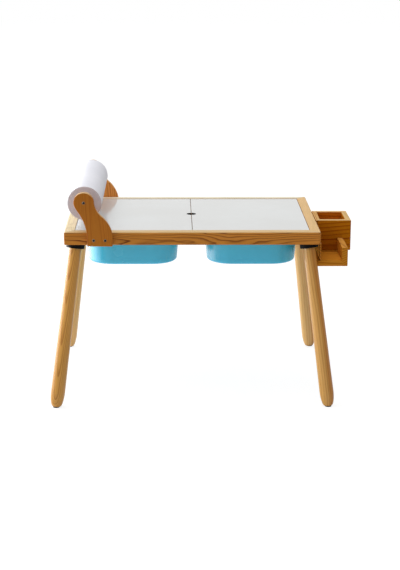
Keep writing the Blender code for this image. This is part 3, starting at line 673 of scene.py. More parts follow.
# %% [markdown]
# ## Bins
# A bin is a moulded tub: walls that lean in so it leaves the mould, a generous fillet round the
# floor, and a rim that hangs on the ledges. Its cross-section is the same rounded rectangle all
# the way down, drawn in step by step, so the shape is lofted from a list of rings. Each ring is an
# inset from the rim's outer edge and a height. The fine rings make the fillets read as curves.

# %% Rings of a bin
BIN_CORNER = 0.095
BIN_LIP = 0.0075
BIN_WALL = 0.0025
BIN_DRAFT = 0.0072
BIN_FILLET = 0.0070
BIN_RIM = 0.003
BIN_SHOULDER = 0.002
BIN_ROOT = 0.0005
CORNER_STEPS = 18
FILLET_STEPS = 10


def rounded_rectangle(half_x, half_y, radius, steps):
    """Points of a rectangle with round corners, anticlockwise."""
    points = []
    for quarter in range(4):
        side_x = 1 if quarter in (0, 3) else -1
        side_y = 1 if quarter in (0, 1) else -1
        for step in range(steps + 1):
            angle = math.pi / 2 * (quarter + step / steps)
            x = side_x * (half_x - radius) + radius * math.cos(angle)
            y = side_y * (half_y - radius) + radius * math.sin(angle)
            points.append((x, y))
    return points


def arc(inset, height, radius, start, end, steps):
    """Rings on an arc about a point, with angles in degrees."""
    angles = [math.radians(start + (end - start) * step / steps) for step in range(steps + 1)]
    return [(inset + radius * math.cos(a), height + radius * math.sin(a)) for a in angles]


def bin_section(depth):
    """A bin's section from the middle of its inner floor, over the rim, to its outer floor."""
    edge = BIN_RIM * 0.3
    foot = BIN_LIP + BIN_DRAFT
    outer_floor = BIN_RIM - depth
    inner_floor = outer_floor + BIN_WALL
    fillet = BIN_FILLET
    inner = arc(foot + BIN_WALL + fillet, inner_floor + fillet, fillet, -90, -180, FILLET_STEPS)
    bend = BIN_SHOULDER
    shoulder = arc(BIN_LIP + BIN_WALL - bend, BIN_RIM - bend, bend, 0, 90, 5)
    rim = arc(edge, BIN_RIM - edge, edge, 90, 180, 4) + arc(edge, edge, edge, 180, 270, 4)
    root = [(BIN_LIP - BIN_ROOT, 0.0), (BIN_LIP, -BIN_ROOT)]
    fillet = BIN_FILLET + BIN_WALL
    outer = arc(foot + fillet, outer_floor + fillet, fillet, 180, 270, FILLET_STEPS)
    return inner + shoulder + rim + root + outer


def loft_bin(node):
    """A closed tub lofted from its rings, in the place of the node."""
    low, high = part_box(node)
    half_x, half_y = (high.x - low.x) / 2, (high.y - low.y) / 2
    centre = box_centre(node)
    seat = high.z - BIN_RIM
    shape = bmesh.new()
    rings = []
    for inset, height in bin_section(high.z - low.z):
        radius = max(BIN_CORNER - inset, BIN_CORNER * 0.4)
        outline = rounded_rectangle(half_x - inset, half_y - inset, radius, CORNER_STEPS)
        ring = [(centre.x + x, centre.y + y, seat + height) for x, y in outline]
        rings.append([shape.verts.new(point) for point in ring])
    for first, second in zip(rings, rings[1:]):
        for index in range(len(first)):
            after = (index + 1) % len(first)
            shape.faces.new((first[index], second[index], second[after], first[after]))
    shape.faces.new(rings[0])
    shape.faces.new(list(reversed(rings[-1])))
    return written(shape, bpy.data.meshes.new(node))


for tub in ("left_bin", "right_bin"):
    mesh = smooth(loft_bin(tub), 40)
    add_piece(tub + "_moulded", mesh, [BIN_PLASTIC], tub, "blue_plastic", tub)
    print(tub, len(mesh.polygons), "faces")


# %% [markdown]
# ## Brackets
# Each bracket is a board cut to an S: a straight foot on the rail, a shoulder that swells over it,
# a waist and a round head that holds the dowel. The outline is a smooth curve through a few points
# with handles, the same as in the CAD model but drawn finer, and its long edges are rounded over
# by the curve's own bevel. The grain stands upright, because a board is strongest that way.

# %% Outline of a bracket
BRACKET_WIDTH = 0.0785
BRACKET_BULGE = 0.0003
BRACKET_LEAN = 0.0090
BRACKET_HEIGHT = 0.1375
BRACKET_HEAD = 0.0315
BRACKET_EDGE = 0.0025
ROUND_HANDLE = 0.5523


def bracket_points():
    """The outline's points as (x, y, direction x, direction y, handle behind, handle ahead)."""
    lean, height, radius = -BRACKET_LEAN, BRACKET_HEIGHT, BRACKET_HEAD
    width, bulge, corner = BRACKET_WIDTH, BRACKET_BULGE, BRACKET_EDGE
    arm = radius * ROUND_HANDLE
    straight = height * 0.21
    return [
        (corner, 0, 1, 0, corner * 0.5, corner),
        (width - corner, 0, 1, 0, corner, corner * 0.5),
        (width, corner, 0, 1, corner * 0.5, corner),
        (width + bulge, straight, 0, 1, corner * 2, height * 0.165),
        (width * 0.595, height * 0.68, -0.76, 0.65, height * 0.16, height * 0.116),
        (lean + radius, height, 0, 1, height * 0.13, arm),
        (lean, height + radius, -1, 0, arm, arm),
        (lean - radius, height, 0, -1, arm, height * 0.10),
        (lean * 2.27, height * 0.71, 0.5, -0.865, height * 0.10, height * 0.175),
        (0, straight, 0, -1, height * 0.16, corner * 2),
        (0, corner, 0, -1, corner, corner * 0.5),
    ]


# %% Sawn and rounded brackets
CURVE_SAME_POINT = 0.00002


def saw_bracket(name, origin, thickness):
    """A rounded board in the outline's shape, standing in the XZ plane at its origin."""
    curve = bpy.data.curves.new(name, "CURVE")
    curve.dimensions = "2D"
    curve.fill_mode = "BOTH"
    curve.resolution_u = 20
    curve.bevel_depth = BRACKET_EDGE
    curve.bevel_resolution = 4
    curve.offset = -BRACKET_EDGE
    curve.extrude = thickness / 2 - BRACKET_EDGE
    spline = curve.splines.new("BEZIER")
    spline.use_cyclic_u = True
    points = bracket_points()
    spline.bezier_points.add(len(points) - 1)
    for knot, (x, y, along_x, along_y, behind, ahead) in zip(spline.bezier_points, points):
        along = Vector((along_x, along_y, 0)).normalized()
        knot.handle_left_type = "FREE"
        knot.handle_right_type = "FREE"
        knot.co = (x, y, 0)
        knot.handle_left = Vector((x, y, 0)) - along * behind
        knot.handle_right = Vector((x, y, 0)) + along * ahead
    holder = linked(name, curve)
    holder.matrix_world = Matrix.Translation(origin) @ Matrix.Rotation(math.pi / 2, 4, "X")
    mesh = baked(holder)
    shape = opened(mesh)
    bmesh.ops.remove_doubles(shape, verts=shape.verts, dist=CURVE_SAME_POINT)
    return written(shape, mesh)


for row in ("front", "back"):
    node = row + "_roll_bracket"
    low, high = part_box(node)
    left = low.x + BRACKET_LEAN + BRACKET_HEAD
    middle = (low.y + high.y) / 2
    origin = Vector((left, middle, RAIL_UNDERSIDE))
    heart = (left + 0.03, middle + 0.055, 0.6)
    # Painted light: the back bracket gets paler tones for bounced light, and both brackets get
    # painted top light on upper faces.
    tones = (TOFFEE, TOFFEE_DARK) if row == "front" else (BOUNCE_LIT_PINE, BOUNCE_LIT_PINE_DARK)
    upright = {"ring": 0.0034, "wander": 0.018, "painted_top_light": 0.8}
    finish = pine("pine_" + node, (-0.06, 0, 1), heart, *tones, **upright)
    mesh = smooth(saw_bracket(node, origin, high.y - low.y), 40)
    add_piece(node + "_sawn", mesh, [finish], "table", "golden_pine", node)
    print(node, len(mesh.polygons), "faces")


# %% [markdown]
# ## Turned pieces
# The dowel, the core and the roll are round about one line, so they are turned: a half section is
# swept round the axis. The roll's outer surface is a spiral rather than a circle, because the free
# end of the sheet lies on the turn below it and leaves a fine step along the roll.

# %% Sweep a half section round an axis
ALONG_Y = Matrix.Rotation(-math.pi / 2, 4, "X")


def turned(section, steps, centre, spiral=0.0):
    """Sweep (radius, height, grows) points round Z, then lay the result along Y at its centre."""
    shape = bmesh.new()
    rows = []
    for step in range(steps):
        angle = 2 * math.pi * step / steps
        grow = spiral * (step / steps)
        row = []
        for radius, height, grows in section:
            reach = radius - (grow if grows else 0.0)
            row.append(shape.verts.new((reach * math.cos(angle), reach * math.sin(angle), height)))
        rows.append(row)
    count = len(section)
    for index, row in enumerate(rows):
        following = rows[(index + 1) % steps]
        for place in range(count):
            after = (place + 1) % count
            shape.faces.new((row[place], following[place], following[after], row[after]))
    mesh = written(shape, bpy.data.meshes.new("turned"))
    mesh.transform(Matrix.Translation(centre) @ ALONG_Y)
    return mesh


# %% Paper roll with its sheet end
ROLL_STEPS = 192
SHEET_STEP = 0.0002
CORE_OUTER = 0.0230
CORE_BORE = 0.0205
PAPER_OFF_CORE = 0.0003
roll_low, roll_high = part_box("paper_roll")
roll_radius = (roll_high.z - roll_low.z) / 2
half_roll = (roll_high.y - roll_low.y) / 2
edge = 0.0002
inner = CORE_OUTER + PAPER_OFF_CORE
roll_section = [
    (inner, half_roll, False),
    (roll_radius - edge, half_roll, True),
    (roll_radius, half_roll - edge, True),
    (roll_radius, -half_roll + edge, True),
    (roll_radius - edge, -half_roll, True),
    (inner, -half_roll, False),
]
mesh = smooth(turned(roll_section, ROLL_STEPS, box_centre("paper_roll"), SHEET_STEP), 28)
for face in mesh.polygons:
    face.material_index = 1 if abs(face.normal.y) > 0.9 else 0
add_piece("paper_roll_wound", mesh, [PAPER, PAPER_END], "roll", "paper", "paper_roll")
print("roll", round(roll_radius * 2, 4), "across")

# %% Core
CORE_STEPS = 96
core_section = [
    (CORE_BORE, half_roll, False),
    (CORE_OUTER, half_roll, False),
    (CORE_OUTER, -half_roll, False),
    (CORE_BORE, -half_roll, False),
]
mesh = smooth(turned(core_section, CORE_STEPS, box_centre("roll_core")), 30)
add_piece("roll_core_board", mesh, [CARDBOARD], "roll", "cardboard", "roll_core")
print("core", CORE_OUTER * 2, "across, with a bore of", CORE_BORE * 2)

# %% Dowel
DOWEL_STEPS = 48
AXIS_HOLE = 0.0001
dowel_low, dowel_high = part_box("roll_dowel")
dowel_radius = (dowel_high.z - dowel_low.z) / 2
half_dowel = (dowel_high.y - dowel_low.y) / 2
chamfer = 0.0008
dowel_section = [
    (AXIS_HOLE, half_dowel, False),
    (dowel_radius - chamfer, half_dowel, False),
    (dowel_radius, half_dowel - chamfer, False),
    (dowel_radius, -half_dowel + chamfer, False),
    (dowel_radius - chamfer, -half_dowel, False),
    (AXIS_HOLE, -half_dowel, False),
]
mesh = smooth(turned(dowel_section, DOWEL_STEPS, box_centre("roll_dowel")), 30)
heart = box_centre("roll_dowel") + Vector((0.03, 0, 0.02))
finish = pine("pine_dowel", (0, 1, 0), heart, STRAW, STRAW_DARK, ring=0.003)
add_piece("roll_dowel_turned", mesh, [finish], "table", "pale_pine", "roll_dowel")
print("dowel", round(dowel_radius * 2, 4), "across and", round(half_dowel * 2, 4), "long")


# %% [markdown]
# ## Geometry Nodes helpers
# The next pieces repeat or follow a rule, so Geometry Nodes make them. A tree is built here like a
# shader, with the same wires, and its sizes are named inputs. A modifier's input is set by the
# socket's identifier before the object is first evaluated. The result is baked to a plain mesh.

# %% Build and run a tree
def start_tree(name, **kinds):
    """A geometry tree with named inputs, as the tree and one wire for each input."""
    tree = bpy.data.node_groups.new(name, "GeometryNodeTree")
    tree.interface.new_socket("Geometry", in_out="INPUT", socket_type="NodeSocketGeometry")
    for label, kind in kinds.items():
        tree.interface.new_socket(label, in_out="INPUT", socket_type="NodeSocket" + kind)
    tree.interface.new_socket("Geometry", in_out="OUTPUT", socket_type="NodeSocketGeometry")
    entry = tree.nodes.new("NodeGroupInput")
    wires = {socket.name: Wire(tree, socket) for socket in entry.outputs if socket.name}
    return tree, wires


def end_tree(shape, material=None):
    """Realize the instances, set the material if there is one, and link the tree's output."""
    whole = shape.node("GeometryNodeRealizeInstances", None, {"Geometry": shape})
    if material is not None:
        values = {"Geometry": whole, "Material": material}
        whole = shape.node("GeometryNodeSetMaterial", None, values)
    end = shape.tree.nodes.new("NodeGroupOutput")
    shape.tree.links.new(whole.socket, end.inputs[0])


def run_tree(tree, mesh=None, **values):
    """The mesh that a tree makes from its input values, and from a mesh where it needs one."""
    holder = linked(tree.name, mesh or bpy.data.meshes.new(tree.name))
    modifier = holder.modifiers.new(tree.name, "NODES")
    modifier.node_group = tree
    for item in tree.interface.items_tree:
        if item.in_out == "INPUT" and item.name in values:
            modifier[item.identifier] = values[item.name]
    return baked(holder)


# %% [markdown]
# ## Windings of the paper
# The cut end of a roll shows the turns of the sheet as fine rings. They are one long spiral, so a
# Spiral curve is given a thin round section and laid on each end, half sunk in the paper. The
# number of turns is fewer than in real paper, so that the rings can be seen at all.

# %% Spiral windings on both ends
WINDING_TURNS = 21.0
WINDING_POINTS = 56
WINDING_RIDGE = 0.00022
WINDING_OFF_INNER = 0.0008
WINDING_OFF_OUTER = 0.0014


def winding_tree():
    """A thin spiral ridge in the XY plane."""
    kinds = dict.fromkeys(("Turns", "Inner", "Outer", "Ridge"), "Float")
    tree, inputs = start_tree("paper_windings", **kinds, Finish="Material")
    turns = inputs["Turns"]
    values = {
        "Resolution": WINDING_POINTS,
        "Rotations": turns,
        "Start Radius": inputs["Inner"],
        "End Radius": inputs["Outer"],
        "Height": 0.0,
    }
    spiral = turns.node("GeometryNodeCurveSpiral", None, values)
    values = {"Resolution": 5, "Radius": inputs["Ridge"]}
    ridge = turns.node("GeometryNodeCurvePrimitiveCircle", None, values)
    values = {"Curve": spiral, "Profile Curve": ridge, "Fill Caps": True}
    wound = turns.node("GeometryNodeCurveToMesh", None, values)
    end_tree(wound, inputs["Finish"])
    return tree


windings = winding_tree()
for side, row in ((-1, "front"), (1, "back")):
    mesh = run_tree(
        windings,
        Turns=WINDING_TURNS,
        Inner=inner + WINDING_OFF_INNER,
        Outer=roll_radius - WINDING_OFF_OUTER,
        Ridge=WINDING_RIDGE,
        Finish=PAPER_END,
    )
    centre = box_centre("paper_roll") + Vector((0, side * half_roll, 0))
    mesh.transform(Matrix.Translation(centre) @ ALONG_Y)
    add_piece("paper_windings_" + row, smooth(mesh, 60), [PAPER_END], "roll", "paper")
    print("windings", row, len(mesh.polygons), "faces")


# %% [markdown]
# ## Legs
# A leg is turned from a pole: it swells slowly from the top to just above the foot and ends in a
# blunt round nose. Its radius follows a rule along its length, so Geometry Nodes sweep a circle
# down a line and scale it by that rule. The leg leans both ways, and its nose is cut level where
# the pad is fixed. The taper, the nose and the lean are the measured values of the CAD model. Each
# leg has its own log. Where the log's heart runs out of true with the leg, the turning cuts the
# rings at a slant, which gives the long flames of the front left leg. The right legs have a darker,
# redder heartwood tone on their outer side only, so they are paler on the left: partly the wood's
# own heartwood, and partly painted shade on the side away from the light.

# %% Rule for the leg's radius
LEG_TOP_INSET = 0.035
FOOT_OUT_X = 0.0311
FOOT_OUT_Y = 0.0470
LEG_TOP_RADIUS = 0.0190
LEG_FULL_RADIUS = 0.0222
LEG_NOSE = 0.048
LEG_TIP_RADIUS = 0.0105
PLATE_RADIUS = 0.0288
PLATE_THIN_SIDE = 0.0097
JOINT_GAP = 0.0003
LEG_RINGS = 150
LEG_SIDES = 72


def leg_tree():
    """A circle swept down a line, scaled by the leg's taper and its nose."""
    kinds = dict.fromkeys(("Length", "Top", "Full", "Nose", "Tip"), "Float")
    tree, inputs = start_tree("turned_leg", **kinds, Finish="Material")
    length, top, full = inputs["Length"], inputs["Top"], inputs["Full"]
    nose, tip = inputs["Nose"], inputs["Tip"]
    end = length.node("ShaderNodeCombineXYZ", None, {"Z": 0 - length})
    line = length.node("GeometryNodeCurvePrimitiveLine", None, {"End": end})
    rings = length.node("GeometryNodeResampleCurve", None, {"Curve": line, "Count": LEG_RINGS})
    down = length.node("GeometryNodeSplineParameter", output="Length")
    above_tip = length - down
    taper = top + (full - top) * (down / (length - nose))
    inside = ((nose - above_tip) / nose).at_least(0.0)
    curve = (1 - inside * inside).at_least(0.0) ** 0.5
    rounded = tip + (full - tip) * curve
    in_nose = above_tip < nose
    radius = in_nose * rounded + (1 - in_nose) * taper
    values = {"Resolution": LEG_SIDES, "Radius": 1.0}
    circle = length.node("GeometryNodeCurvePrimitiveCircle", None, values)
    values = {"Curve": rings, "Profile Curve": circle, "Scale": radius, "Fill Caps": True}
    swept = length.node("GeometryNodeCurveToMesh", None, values)
    end_tree(swept, inputs["Finish"])
    return tree


# %% Turn, lean and cut the legs
def leg_axis(side_x, side_y):
    """A leg's top on the rail's underside and the direction up its axis."""
    half_x = (TABLE_RIGHT - TABLE_LEFT) / 2
    half_y = (TABLE_BACK - TABLE_FRONT) / 2
    across, back = side_x * (half_x - LEG_TOP_INSET), side_y * (half_y - LEG_TOP_INSET)
    top = TABLE_MIDDLE + Vector((across, back, RAIL_UNDERSIDE))
    across, back = side_x * (half_x + FOOT_OUT_X), side_y * (half_y + FOOT_OUT_Y)
    foot = TABLE_MIDDLE + Vector((across, back, 0))
    return top, (top - foot).normalized()


# The heart and core reach put the heartwood tone on the right of the right legs, partly as painted
# shade.
LEG_WOOD = {
    "front_left": (HONEY, EMBER, Vector((-0.014, -0.036, 0.0)), 0.0040, 0.004, 0.050),
    "front_right": (WHEAT, WHEAT_DARK, Vector((0.024, -0.014, 0.0)), 0.0080, 0.024, 0.0),
    "back_left": (STRAW, STRAW_DARK, Vector((0.015, 0.020, 0.0)), 0.0060, 0.010, 0.0),
    "back_right": (STRAW, STRAW_DARK, Vector((0.022, -0.010, 0.0)), 0.0075, 0.016, 0.0),
}
LEG_SHINE = {-1: 0.35, 1: 0.55}
legs = leg_tree()
plate_undersides = []
for side_y, row in ((-1, "front"), (1, "back")):
    for side_x, column in ((-1, "left"), (1, "right")):
        corner = row + "_" + column
        top, up = leg_axis(side_x, side_y)
        lean = math.acos(up.z)
        depth = (PLATE_THIN_SIDE + PLATE_RADIUS * math.sin(lean)) / math.cos(lean)
        shoulder = top - up * (depth + JOINT_GAP)
        plate_undersides.append((top - up * depth, up))
        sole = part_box("foot_pad_" + corner)[1].z + JOINT_GAP
        length = (shoulder.z - sole + LEG_TIP_RADIUS * math.sin(lean) + JOINT_GAP) / up.z
        pale, dark, aside, ring, reach, run_out = LEG_WOOD[corner]
        logs = {"ring": ring, "core": HEARTWOOD_AND_SHADE, "core_reach": reach}
        logs |= {"dull": 0.34, "shine": LEG_SHINE[side_x]}
        along = up - aside.normalized() * run_out
        finish = pine("pine_leg_" + corner, along, top + aside, pale, dark, **logs)
        mesh = run_tree(
            legs,
            Length=length,
            Top=LEG_TOP_RADIUS,
            Full=LEG_FULL_RADIUS,
            Nose=LEG_NOSE,
            Tip=LEG_TIP_RADIUS,
            Finish=finish,
        )
        turn = up.to_track_quat("Z", "Y").to_matrix().to_4x4()
        mesh.transform(Matrix.Translation(shoulder) @ turn)
        shape = opened(mesh)
        cut = bmesh.ops.bisect_plane(
            shape,
            geom=[*shape.verts, *shape.edges, *shape.faces],
            plane_co=(0, 0, sole),
            plane_no=(0, 0, -1),
            clear_outer=True,
        )
        rim = [item for item in cut["geom_cut"] if isinstance(item, bmesh.types.BMEdge)]
        bmesh.ops.edgeloop_fill(shape, edges=rim)
        mesh = smooth(written(shape, mesh), 40)
        name = "leg_" + corner
        add_piece(name + "_turned", mesh, [finish], "table", "golden_pine", name)
        print(name, "length", round(length, 4), "lean", round(math.degrees(lean), 2))


# %% [markdown]
# ## Plates and pads
# A black wedge plate lets each leg lean while its top still meets the rail flat. A pad under each
# foot keeps the wood off the floor. Both shapes are right in the CAD model, so copies of them are
# merged and eased.

# %% Wedge plates and foot pads
for corner in LEG_WOOD:
    dress("leg_plate_" + corner, [PLATE_PLASTIC], "black_plastic", arris=0.0005, angle=35)
    dress("foot_pad_" + corner, [PAD_RUBBER], "rubber", arris=0.0006, angle=35)
    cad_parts["leg_bolt_" + corner].data.materials.clear()
    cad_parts["leg_bolt_" + corner].data.materials.append(SCREW_STEEL)
print("plates and pads", len(LEG_WOOD))


# %% [markdown]
# ## Pencil box and tray
# The box and the tray are butt-jointed boards. In the photograph the box front is darker and
# redder than the frame, and its grain runs across. The tray's boards are lighter. The side board
# shows as a narrow strip beside the leg. Each board gets its own log. The tray's floor runs a
# little way into its wall, because white shone through the point where three rounded edges meet.

# %% Boards of the box and the tray
TRAY_FLOOR_INTO_WALL = 0.0018
TRAY_FLOOR_END = 0.002
HOLDER = {
    "pencil_box_front": ((1, 0, 0.10), (0.36, 0.02, 0.435), RUST, RUST_DARK, "dark_pine", 0.85),
    "pencil_box_back": ((1, 0, 0), (0.43, 0.12, 0.44), CHERRY, CHERRY_DARK, "dark_pine", 0.85),
    "pencil_box_end": ((0, 1, 0.02), (0.52, -0.03, 0.43), RUST, RUST_DARK, "dark_pine", 0.85),
    "pencil_box_inner_end": ((0, 1, -0.02), (0.34, -0.03, 0.45), RUST, RUST_DARK, "dark_pine", 0.6),
    "holder_side_board": ((0, 1, 0), (0.33, -0.05, 0.43), PALE, AMBER, "golden_pine", 0.6),
    "tray_floor": ((1, 0.02, 0), (0.42, -0.10, 0.36), GINGER, GINGER_DARK, "golden_pine", 0.0),
    "tray_wall": ((0, 1, 0.05), (0.48, -0.20, 0.40), GINGER, GINGER_DARK, "golden_pine", 0.15),
}
# The last column is each board's share of painted top light on its upper faces.
for board, (along, heart, pale, dark, slot, painted_top_light) in HOLDER.items():
    oiled = {"ring": 0.0070, "wander": 0.022, "painted_top_light": painted_top_light, "dull": 0.6, "shine": 0.0}
    finish = pine("pine_" + board, along, heart, pale, dark, **oiled)
    piece = dress(board, [finish], slot, angle=35)
    if board == "tray_floor":
        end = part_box(board)[1].x - TRAY_FLOOR_END
        for vertex in piece.data.vertices:
            if vertex.co.x > end:
                vertex.co.x += TRAY_FLOOR_INTO_WALL
print("holder boards", len(HOLDER))


# %% [markdown]
# ## Screws
# Every visible screw is the same raised countersunk one with a hexagon recess, which shows as a
# dark dot in a pale ring: the recess is painted near black, as painted shade. The low crown stands
# out of the board, so the recess is clear of it. The head is turned from rings of points, and the
# rings of the recess follow a hexagon instead of a circle. Geometry Nodes then set a copy at each
# point and turn it the way the point faces.

# %% One screw
HEAD_RADIUS = 0.0046
HEAD_DEPTH = 0.0030
SHANK_RADIUS = 0.0021
SHANK_LENGTH = 0.008
HEAD_CROWN = 0.0010
HEX_RADIUS = 0.0032
HEX_RINGS = 3
HEAD_SIDES = 48
SCREW_FINISHES = [SCREW_STEEL, RECESS_PAINTED_SHADE]


def screw_mesh(name):
    """A raised countersunk head with a hexagon recess, facing up, the board's face at Z = 0."""
    shape = bmesh.new()

    def circle(radius, height, hexagon=False):
        row = []
        for step in range(HEAD_SIDES):
            angle = 2 * math.pi * step / HEAD_SIDES
            reach = radius
            if hexagon:
                part = (angle % (math.pi / 3)) - math.pi / 6
                reach = radius * math.cos(math.pi / 6) / math.cos(part)
            row.append(shape.verts.new((reach * math.cos(angle), reach * math.sin(angle), height)))
        return row

    rows = [
        circle(HEX_RADIUS * 0.9, HEAD_CROWN * 0.15, True),
        circle(HEX_RADIUS, HEAD_CROWN * 0.25, True),
        circle(HEX_RADIUS, HEAD_CROWN * 0.9, True),
        circle(HEX_RADIUS * 1.12, HEAD_CROWN),
        circle(HEAD_RADIUS - 0.0004, HEAD_CROWN * 0.55),
        circle(HEAD_RADIUS, HEAD_CROWN * 0.1),
        circle(SHANK_RADIUS, -HEAD_DEPTH),
        circle(SHANK_RADIUS, -SHANK_LENGTH),
    ]
    for number, (first, second) in enumerate(zip(rows, rows[1:])):
        for step in range(HEAD_SIDES):
            after = (step + 1) % HEAD_SIDES
            face = shape.faces.new((first[step], second[step], second[after], first[after]))
            # The recess rings take the painted shade finish.
            face.material_index = 1 if number < HEX_RINGS else 0
    shape.faces.new(rows[0]).material_index = 1
    shape.faces.new(list(reversed(rows[-1])))
    mesh = written(shape, bpy.data.meshes.new(name))
    for finish in SCREW_FINISHES:
        mesh.materials.append(finish)
    return smooth(mesh, 30)


# %% Set screws at points
def screw_tree():
    """An object set at each vertex, its Z axis turned to the vertex's facing direction."""
    tree, inputs = start_tree("set_screws", Screw="Object", Size="Float")
    points = inputs["Geometry"]
    settings, values = {"transform_space": "ORIGINAL"}, {"Object": inputs["Screw"]}
    screw = points.node("GeometryNodeObjectInfo", settings, values, "Geometry")
    settings, values = {"data_type": "FLOAT_VECTOR"}, {"Name": "facing"}
    facing = points.node("GeometryNodeInputNamedAttribute", settings, values, "Attribute")
    settings = {"axis": "Z"}
    turn = points.node("FunctionNodeAlignRotationToVector", settings, {"Vector": facing})
    values = {"Points": points, "Instance": screw, "Rotation": turn, "Scale": inputs["Size"]}
    end_tree(points.node("GeometryNodeInstanceOnPoints", None, values))
    return tree


def facing_points(name, places):
    """Loose vertices with the direction that each one faces."""
    mesh = bpy.data.meshes.new(name)
    mesh.from_pydata([place for place, facing in places], [], [])
    layer = mesh.attributes.new("facing", "FLOAT_VECTOR", "POINT")
    for index, (place, facing) in enumerate(places):
        layer.data[index].vector = facing
    return mesh


def screw_place(node, facing):
    """Where a screw node's face is, and the direction that it faces."""
    low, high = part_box(node)
    facing = Vector(facing)
    place = (low + high) / 2
    for axis in range(3):
        if facing[axis]:
            place[axis] = high[axis] if facing[axis] > 0 else low[axis]
    return place, facing


HOLDER_SINK = Vector((0.0009, 0, 0))
SCREW_NODES = {
    "bracket_screw_front_left": (0, -1, 0),
    "bracket_screw_front_right": (0, -1, 0),
    "dowel_screw_front": (0, -1, 0),
    "bracket_screw_back_left": (0, 1, 0),
    "bracket_screw_back_right": (0, 1, 0),
    "dowel_screw_back": (0, 1, 0),
    "holder_screw_front": (1, 0, 0),
    "holder_screw_back": (1, 0, 0),
}
screw_holder = linked("screw_model", screw_mesh("screw_model"))
setter = screw_tree()
spots = [screw_place(node, facing) for node, facing in SCREW_NODES.items()]
spots = [(place - HOLDER_SINK if facing.x else place, facing) for place, facing in spots]
mesh = run_tree(setter, facing_points("screws", spots), Screw=screw_holder, Size=1.0)
add_piece("board_screws", smooth(mesh, 30), SCREW_FINISHES, "table", "steel", *SCREW_NODES)
print("board screws", len(spots), "with", len(mesh.polygons), "faces")

# %% Small screws under the wedge plates
PLATE_SCREW_CIRCLE = 0.0242
PLATE_SCREWS = 3
PLATE_SCREW_SIZE = 0.55
PLATE_SCREW_TURN = 0.25
PLATE_SCREW_PROUD = 0.0002
spots = []
for centre, up in plate_undersides:
    turn = up.to_track_quat("Z", "Y")
    for number in range(PLATE_SCREWS):
        angle = 2 * math.pi * (number + PLATE_SCREW_TURN) / PLATE_SCREWS
        out = Vector((math.cos(angle), math.sin(angle), 0)) * PLATE_SCREW_CIRCLE
        spots.append((centre + turn @ out - up * PLATE_SCREW_PROUD, -up))
points = facing_points("plate_screws", spots)
mesh = run_tree(setter, points, Screw=screw_holder, Size=PLATE_SCREW_SIZE)
add_piece("plate_screws", smooth(mesh, 30), SCREW_FINISHES, "table", "steel")
bpy.data.objects.remove(screw_holder, do_unlink=True)
print("plate screws", len(spots))


# %% [markdown]
# ## Floor, world and lamps
# The photograph is a cut-out on white, taken in front of a white sweep with the room behind the
# camera darker. So the world is brightest behind and to the left, and falls off towards the
# front right. To the camera, floor and world are white, and the floor still takes a faint shadow.
# The camera looks down, so an upright wall mirrors the floor and not the sweep behind. The pale
# rims of the bins and legs therefore come from a glow on the floor behind and to the left, which
# only reflections see. A large lamp above and a little behind makes the tops the palest faces, as
# they are in the photograph, and a long strip on the left lights the left ends.

# %% Floor
WHITE = (1.0, 1.0, 1.0, 1.0)
FLOOR_REACH = 14.0
FLOOR_FACES = 8
FLOOR_WHITE = 0.65
FLOOR_STRENGTH = 1.25
FLOOR_GREY = 0.82
SWEEP_GLOW = 5.0
GLOW_LEFT_EDGE = (-1.35, -1.00)
GLOW_MIDDLE = 0.16
GLOW_RIGHT_EDGE = (-0.2, 0.3)
GLOW_FRONT_EDGE = (-1.05, 0.10)


def add_floor():
    """A wide pale floor at the feet, which is part of the stage."""
    shape = bmesh.new()
    bmesh.ops.create_grid(shape, x_segments=FLOOR_FACES, y_segments=FLOOR_FACES, size=FLOOR_REACH)
    mesh = written(shape, bpy.data.meshes.new("floor"), outwards=False)
    floor = linked("floor", mesh)
    material, shader, place = start_finish("pale_floor", Roughness=0.9, Specular_IOR_Level=0.1)
    shader.inputs["Base Color"].default_value = (FLOOR_GREY, FLOOR_GREY, FLOOR_GREY, 1.0)
    tree = material.node_tree
    seen = place.node("ShaderNodeLightPath", output="Is Camera Ray")
    values = {"Color": WHITE, "Strength": FLOOR_STRENGTH}
    white = place.node("ShaderNodeEmission", None, values)
    lit = Wire(tree, shader.outputs["BSDF"])
    values = {"Fac": seen * FLOOR_WHITE, "Shader": lit, "Shader_001": white}
    mixed = place.node("ShaderNodeMixShader", None, values)
    parts = place.node("ShaderNodeSeparateXYZ", None, {"Vector": place})
    across, back = [Wire(tree, socket) for socket in parts.socket.node.outputs][:2]
    left_share = across.fit(*GLOW_LEFT_EDGE, 1.0, GLOW_MIDDLE)
    sideways = left_share * across.fit(*GLOW_RIGHT_EDGE, 1.0, 0.0)
    bright = back.fit(*GLOW_FRONT_EDGE) * sideways
    mirrored = place.node("ShaderNodeLightPath", output="Is Glossy Ray")
    glow = place.node("ShaderNodeEmission", None, {"Color": WHITE, "Strength": SWEEP_GLOW})
    values = {"Fac": mirrored * bright, "Shader": mixed, "Shader_001": glow}
    mixed = place.node("ShaderNodeMixShader", None, values)
    tree.links.new(mixed.socket, tree.nodes["Material Output"].inputs["Surface"])
    mesh.materials.append(material)
    floor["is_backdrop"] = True


add_floor()
print("floor reaches", FLOOR_REACH, "m each way")

# %% World
DIMMEST = 0.1
BRIGHTEST = 1.0


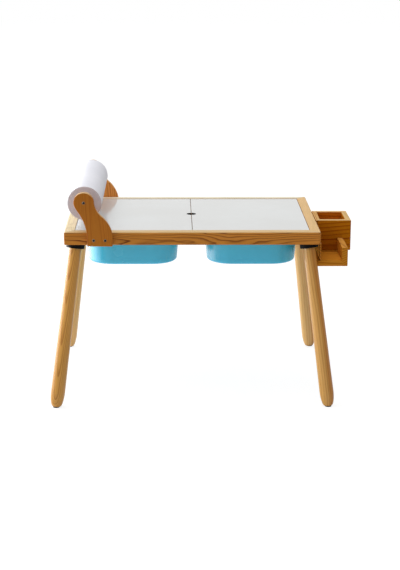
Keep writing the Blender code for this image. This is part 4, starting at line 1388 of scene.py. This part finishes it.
def add_world(middle, to_right, to_back, upward):
    """A white backdrop for the camera, and a level of light that changes with direction."""
    world = bpy.data.worlds.new("studio")
    world.use_nodes = True
    bpy.context.scene.world = world
    tree = world.node_tree
    tree.nodes.clear()
    wire = Wire(tree)
    direction = wire.node("ShaderNodeTexCoord", output="Generated")
    parts = wire.node("ShaderNodeSeparateXYZ", None, {"Vector": direction})
    across, back, up = [Wire(tree, socket) for socket in parts.socket.node.outputs]
    level = middle + across * to_right + back * to_back + up * upward
    level = level.at_least(DIMMEST).at_most(BRIGHTEST)
    seen = wire.node("ShaderNodeLightPath", output="Is Camera Ray")
    soft = wire.node("ShaderNodeBackground", None, {"Color": WHITE, "Strength": level})
    white = wire.node("ShaderNodeBackground", None, {"Color": WHITE, "Strength": 1.0})
    values = {"Fac": seen, "Shader": soft, "Shader_001": white}
    mixed = wire.node("ShaderNodeMixShader", None, values)
    end = tree.nodes.new("ShaderNodeOutputWorld")
    tree.links.new(mixed.socket, end.inputs["Surface"])


add_world(middle=0.60, to_right=-0.24, to_back=0.28, upward=0.10)
bpy.context.scene.view_settings.view_transform = "Standard"
print("world light from", DIMMEST, "to", BRIGHTEST)

# %% Lamps
def add_lamp(name, place, aim, width, height, power):
    """A soft rectangular lamp that faces a point."""
    data = bpy.data.lights.new(name, "AREA")
    data.shape = "RECTANGLE"
    data.size = width
    data.size_y = height
    data.energy = power
    lamp = linked(name, data)
    lamp.location = place
    lamp.rotation_euler = (Vector(aim) - Vector(place)).to_track_quat("-Z", "Y").to_euler()
    print(name, "with", power, "watts")


OVERHEAD = {"place": (-0.6, 0.3, 3.4), "aim": (0, 0, 0.5), "width": 3.4, "height": 3.4}
LEFT_STRIP = {"place": (-2.7, 0.5, 0.7), "aim": (-0.3, -0.1, 0.5), "width": 3.0, "height": 1.1}
add_lamp("overhead_lamp", power=46.0, **OVERHEAD)
add_lamp("left_strip_lamp", power=58.0, **LEFT_STRIP)


# %% [markdown]
# ## Sizes at the end
# The visual model's box is printed at the end.

# %% Print the visual box
low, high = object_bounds()
print("visual box", [round(value, 4) for value in (*low, *high)])
